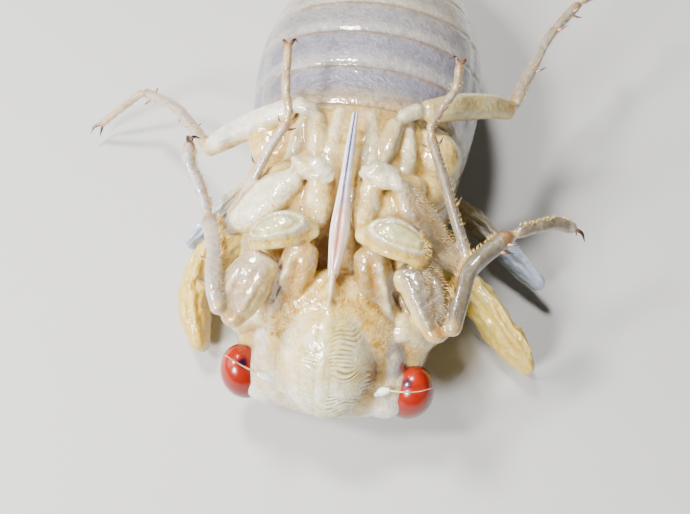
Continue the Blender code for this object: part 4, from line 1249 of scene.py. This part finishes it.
def add_bristle(points, faces, root, out, lie, bend, size):
    """One three-sided bristle that lies one way and bends further towards its tip."""
    middle = root + lie * size * 0.5
    tip = middle + (lie + bend * 0.5).normalized() * size * 0.5
    side = lie.orthogonal().normalized()
    other = lie.cross(side)
    first = len(points)
    for centre, width in ((root - out * 0.05, HAIR_WIDTH), (middle, HAIR_WIDTH * 0.75)):
        for k in range(3):
            way = 2 * math.pi * k / 3
            points.append(centre + (side * math.cos(way) + other * math.sin(way)) * width)
    points.append(tip)
    for k in range(3):
        j = (k + 1) % 3
        faces.append((first + k, first + j, first + 3 + j, first + 3 + k))
        faces.append((first + 3 + k, first + 3 + j, first + 6))
    faces.append((first + 2, first + 1, first))


def hair_patch(number, across, up):
    """Place of a bristle's patch in a field of the map, from shares of the field."""
    columns, rows = HAIR_FIELDS
    row, column = divmod(number, columns)
    return (column + across) / columns, (row + up) / rows


def face_bristles(chance, roots, points, faces):
    """Short hair round the face, which lies down it and outwards. Returns the places of its patches."""
    flow = face_frame().col[2]
    patches = []
    for root, out in roots:
        tangent = (flow - out * flow.dot(out)).normalized()
        lean = Vector([chance.uniform(-0.5, 0.5) for _ in range(3)])
        lie = (out * 0.35 + tangent + Vector((0.3 * root.x, 0, 0)) + lean).normalized()
        add_bristle(points, faces, root, out, lie, tangent, chance.uniform(0.14, 0.3))
        patches.append(hair_patch(len(FRINGES), 0.1 + 0.8 * clamp(root.x / 6 + 0.5),
                                  0.1 + 0.8 * clamp(root.y / 6)))
    return patches


def leg_bristles(chance, points, faces):
    """Fringes of the legs. Returns the places of their patches."""
    patches = []
    for number, (leg, part, count, span, way, spread, length) in enumerate(FRINGES):
        turn = turn_to(leg, part, way) if way else 0.0
        stations, across = leg_stations(leg, part), across_of(leg, part)
        for _ in range(count):
            along = chance.uniform(*span)
            angle = turn + math.radians(chance.uniform(-spread, spread))
            root, out, tangent = tube_place(stations, across, along, angle)
            lean = Vector([chance.uniform(-0.35, 0.35) for _ in range(3)])
            lie = (out * 0.8 + tangent * 0.75 + lean).normalized()
            add_bristle(points, faces, root, out, lie, tangent, length * chance.uniform(0.7, 1.25))
            patches.append(hair_patch(number, 0.1 + 0.8 * along, 0.5 + 0.35 * math.sin(angle)))
    return patches


def make_hair(material, roots):
    """Golden bristles in one mesh, each with a patch of its own on the OFBake map."""
    chance = random.Random(HAIR_SEED)
    points, faces = [], []
    patches = face_bristles(chance, roots, points, faces)
    patches += leg_bristles(chance, points, faces)
    mesh = mesh_from("fringes", points, faces)
    layer = mesh.uv_layers.new(name="OFBake")
    for loop in mesh.loops:
        bristle, corner = divmod(loop.vertex_index, len(BRISTLE_CORNERS))
        layer.data[loop.index].uv = [start + share * HAIR_PATCH
                                     for start, share in zip(patches[bristle], BRISTLE_CORNERS[corner])]
    piece = new_piece("fringes", place(mesh), material)
    adopt(piece, [])


class Nodes:
    """Short way to build a material's node tree."""

    def __init__(self, name):
        self.material = bpy.data.materials.new(name)
        self.material.use_nodes = True
        self.tree = self.material.node_tree
        self.shader = self.tree.nodes["Principled BSDF"]

    def add(self, kind, inputs=None, **settings):
        node = self.tree.nodes.new("ShaderNode" + kind)
        for key, value in settings.items():
            setattr(node, key, value)
        for key, value in (inputs or {}).items():
            if isinstance(value, bpy.types.NodeSocket):
                self.tree.links.new(value, node.inputs[key])
            else:
                node.inputs[key].default_value = value
        return node

    def set(self, **values):
        for key, value in values.items():
            socket = self.shader.inputs[key.replace("_", " ")]
            if isinstance(value, bpy.types.NodeSocket):
                self.tree.links.new(value, socket)
            else:
                socket.default_value = value

    def place(self):
        return self.add("TexCoord").outputs["Object"]

    def tone(self):
        return self.add("Attribute", attribute_name="tone").outputs["Color"]

    def noise(self, place, scale, detail, roughness=0.5, distortion=0.0):
        return self.add("TexNoise", {"Vector": place, "Scale": scale, "Detail": detail,
                                     "Roughness": roughness, "Distortion": distortion}).outputs["Fac"]

    def ramp(self, value, start, end, low, high):
        """The value's range from start to end, spread over low to high and held at its ends."""
        return self.add("MapRange", {"Value": value, "From Min": start, "From Max": end,
                                     "To Min": low, "To Max": high}).outputs["Result"]

    def calculate(self, operation, first, second):
        return self.add("Math", {0: first, 1: second}, operation=operation).outputs["Value"]

    def blend(self, share, first, second):
        return self.add("Mix", {"Factor": share, 6: first, 7: second}, data_type="RGBA").outputs[2]

    def dimmed(self, colour, share):
        return self.add("VectorMath", {0: colour, "Scale": share}, operation="SCALE").outputs["Vector"]

    def bump(self, height, strength, distance, **settings):
        return self.add("Bump", {"Height": height, "Strength": strength, "Distance": distance},
                        **settings).outputs["Normal"]


# Wet cuticle is darker than its dry tone, which leaves the highlights brighter beside it
DAMP = 0.74
# What honey blotches multiply the tone by, and the colour of milky ones
HONEY_BLOTCH = (0.96, 0.78, 0.45)
MILK_BLOTCH = (0.92, 0.9, 0.84, 1)
VEIN_HEIGHT = 0.0001


def soft_material(name, roughness, subsurface, mottle, bump, coat, scale=0.0004):
    """Damp soft cuticle: tone from the mesh, blotches and fine veins, light from inside, a wet film.

    Grey cuticle has few blotches and yellow cuticle all of them."""
    nodes = Nodes(name)
    where, tone = nodes.place(), nodes.tone()
    parts = nodes.add("SeparateColor", {0: tone}).outputs
    yellow = nodes.ramp(nodes.calculate("SUBTRACT", parts[0], parts[2]), 0.03, 0.2, 0.15, 1.0)
    shade = nodes.ramp(nodes.noise(where, 2300.0, 6.0, 0.65, 0.8), 0.33, 0.67,
                       DAMP * (1 - mottle), DAMP * (1 + mottle))
    warm = nodes.noise(where, 900.0, 7.0, 0.7, 1.2)
    honey = nodes.calculate("MULTIPLY", nodes.ramp(warm, 0.48, 0.64, 0.0, 2.4 * mottle), yellow)
    tinted = nodes.add("VectorMath", {0: tone, 1: HONEY_BLOTCH}, operation="MULTIPLY").outputs["Vector"]
    milk = nodes.calculate("MULTIPLY", nodes.ramp(warm, 0.46, 0.34, 0.0, 1.6 * mottle), yellow)
    colour = nodes.blend(milk, nodes.blend(honey, tone, tinted), MILK_BLOTCH)
    fine = nodes.noise(where, 4200.0, 4.0, 0.6, 0.8)
    broad = nodes.noise(where, 1500.0, 3.0, 0.5, 1.2)
    nodes.set(Base_Color=nodes.dimmed(colour, shade),
              Roughness=nodes.ramp(broad, 0.3, 0.7, roughness - 0.1, roughness + 0.14),
              Normal=nodes.bump(nodes.calculate("ADD", fine, broad), bump, VEIN_HEIGHT),
              Coat_Normal=nodes.bump(broad, bump * 0.5, VEIN_HEIGHT),
              Subsurface_Weight=subsurface, Subsurface_Radius=(1.0, 0.7, 0.35),
              Subsurface_Scale=scale, Coat_Weight=coat, Coat_Roughness=0.06, Coat_IOR=1.6, IOR=1.5)
    return nodes.material


def eye_material():
    """Gloss over fine facets."""
    nodes = Nodes("eye_gloss")
    cells = nodes.add("TexVoronoi", {"Vector": nodes.place(), "Scale": 26000.0}).outputs["Distance"]
    nodes.set(Base_Color=nodes.tone(), Normal=nodes.bump(cells, 0.12, 0.00002, invert=True),
              Roughness=0.22, IOR=1.38, Coat_Weight=0.8, Coat_IOR=1.36, Coat_Roughness=0.06,
              Subsurface_Weight=0.15, Subsurface_Scale=0.0003)
    return nodes.material


def plain_material(name, roughness, coat, subsurface=0.0):
    """Tone from the mesh with a slight mottle, for small hard pieces."""
    nodes = Nodes(name)
    shade = nodes.ramp(nodes.noise(nodes.place(), 3000.0, 3.0), 0.3, 0.7, 0.85, 1.1)
    nodes.set(Base_Color=nodes.dimmed(nodes.tone(), shade), Roughness=roughness, Coat_Weight=coat,
              Coat_Roughness=0.1, Subsurface_Weight=subsurface, Subsurface_Scale=0.0003)
    return nodes.material


# Place on the ramp and colour of the dark and the light hair
HAIR_RAMP = ((0.35, (0.40, 0.20, 0.03, 1)), (0.65, (0.82, 0.58, 0.18, 1)))


def hair_material():
    """Gold that varies from bristle to bristle."""
    nodes = Nodes("golden_hair")
    ramp = nodes.add("ValToRGB", {"Fac": nodes.noise(nodes.place(), 2000.0, 2.0)})
    for element, (position, colour) in zip(ramp.color_ramp.elements, HAIR_RAMP):
        element.position = position
        element.color = colour
    nodes.set(Base_Color=ramp.outputs["Color"], Roughness=0.35)
    return nodes.material


FLOOR_SIZE = 3.0
FLOOR_COLOUR = (0.46, 0.46, 0.45, 1)


def make_floor():
    """Plain pale floor under the model."""
    nodes = Nodes("pale_floor")
    nodes.set(Base_Color=FLOOR_COLOUR, Roughness=0.8)
    corners = [(x * FLOOR_SIZE, y * FLOOR_SIZE, 0) for x, y in ((-1, -1), (1, -1), (1, 1), (-1, 1))]
    floor = new_piece("floor", mesh_from("floor", corners, [(0, 1, 2, 3)]), nodes.material)


# Soft lamps: place in the animal's frame, width of the lamp, watts and colour
LAMPS = {
    "overhead": ((-30, 45, 105), 18, 0.19, (1.0, 0.98, 0.95)),
    "left_key": ((-70, -10, 95), 16, 0.17, (1.0, 0.98, 0.94)),
    "left_fill": ((-110, -10, 70), 80, 0.08, (1.0, 0.97, 0.92)),
    "right_fill": ((110, -40, 60), 110, 0.015, (0.92, 0.95, 1.0)),
    "front_fill": ((-55, -75, 80), 30, 0.34, (1.0, 1.0, 1.0)),
}
BODY_MIDDLE = Vector((0.0, 7.0, 6.0))
GLOW_COLOUR = (0.9, 0.93, 1.0, 1)
GLOW = 0.035


def make_lights():
    """The lamps, aimed at the body, and a faint even glow."""
    for name, (spot, width, watts, colour) in LAMPS.items():
        light = bpy.data.lights.new(name, "AREA")
        light.energy = watts
        light.size = width * MM
        light.color = colour
        lamp = bpy.data.objects.new(name, light)
        bpy.context.scene.collection.objects.link(lamp)
        aim = (BODY_MIDDLE - Vector(spot)).to_track_quat("-Z", "Y").to_matrix().to_4x4()
        lamp.matrix_world = Matrix.Translation(TO_WORLD @ Vector(spot)) @ aim
    world = bpy.data.worlds.new("studio")
    world.use_nodes = True
    inputs = world.node_tree.nodes["Background"].inputs
    inputs["Color"].default_value = GLOW_COLOUR
    inputs["Strength"].default_value = GLOW
    bpy.context.scene.world = world


def make_camera():
    """The photo's camera."""
    data = bpy.data.cameras.new("photo_camera")
    data.sensor_width = SENSOR
    data.lens = LENS
    data.clip_start = MM
    camera = bpy.data.objects.new("photo_camera", data)
    bpy.context.scene.collection.objects.link(camera)
    back = CAMERA_RIGHT.cross(CAMERA_UP)
    turn = Matrix((CAMERA_RIGHT, CAMERA_UP, back)).transposed().to_4x4()
    camera.matrix_world = Matrix.Translation(TO_WORLD @ CAMERA_PLACE) @ turn
    bpy.context.scene.camera = camera


make_camera()
make_lights()
make_floor()
cuticle = soft_material("damp_cuticle", 0.32, 0.5, 0.2, 0.6, 1.0, 0.0005)
small_parts = plain_material("small_cuticle", 0.25, 0.4, 0.2)
face_hair_roots = make_skin(cuticle)
make_eyes(eye_material())
make_antennae(small_parts)
make_beak(plain_material("beak_cuticle", 0.22, 0.6, 0.25))
make_pads(soft_material("wing_membrane", 0.4, 0.4, 0.16, 0.6, 0.5))
make_claws(plain_material("claw_horn", 0.25, 0.5))
make_spines(plain_material("spine_horn", 0.3, 0.3))
make_hair(hair_material(), face_hair_roots)
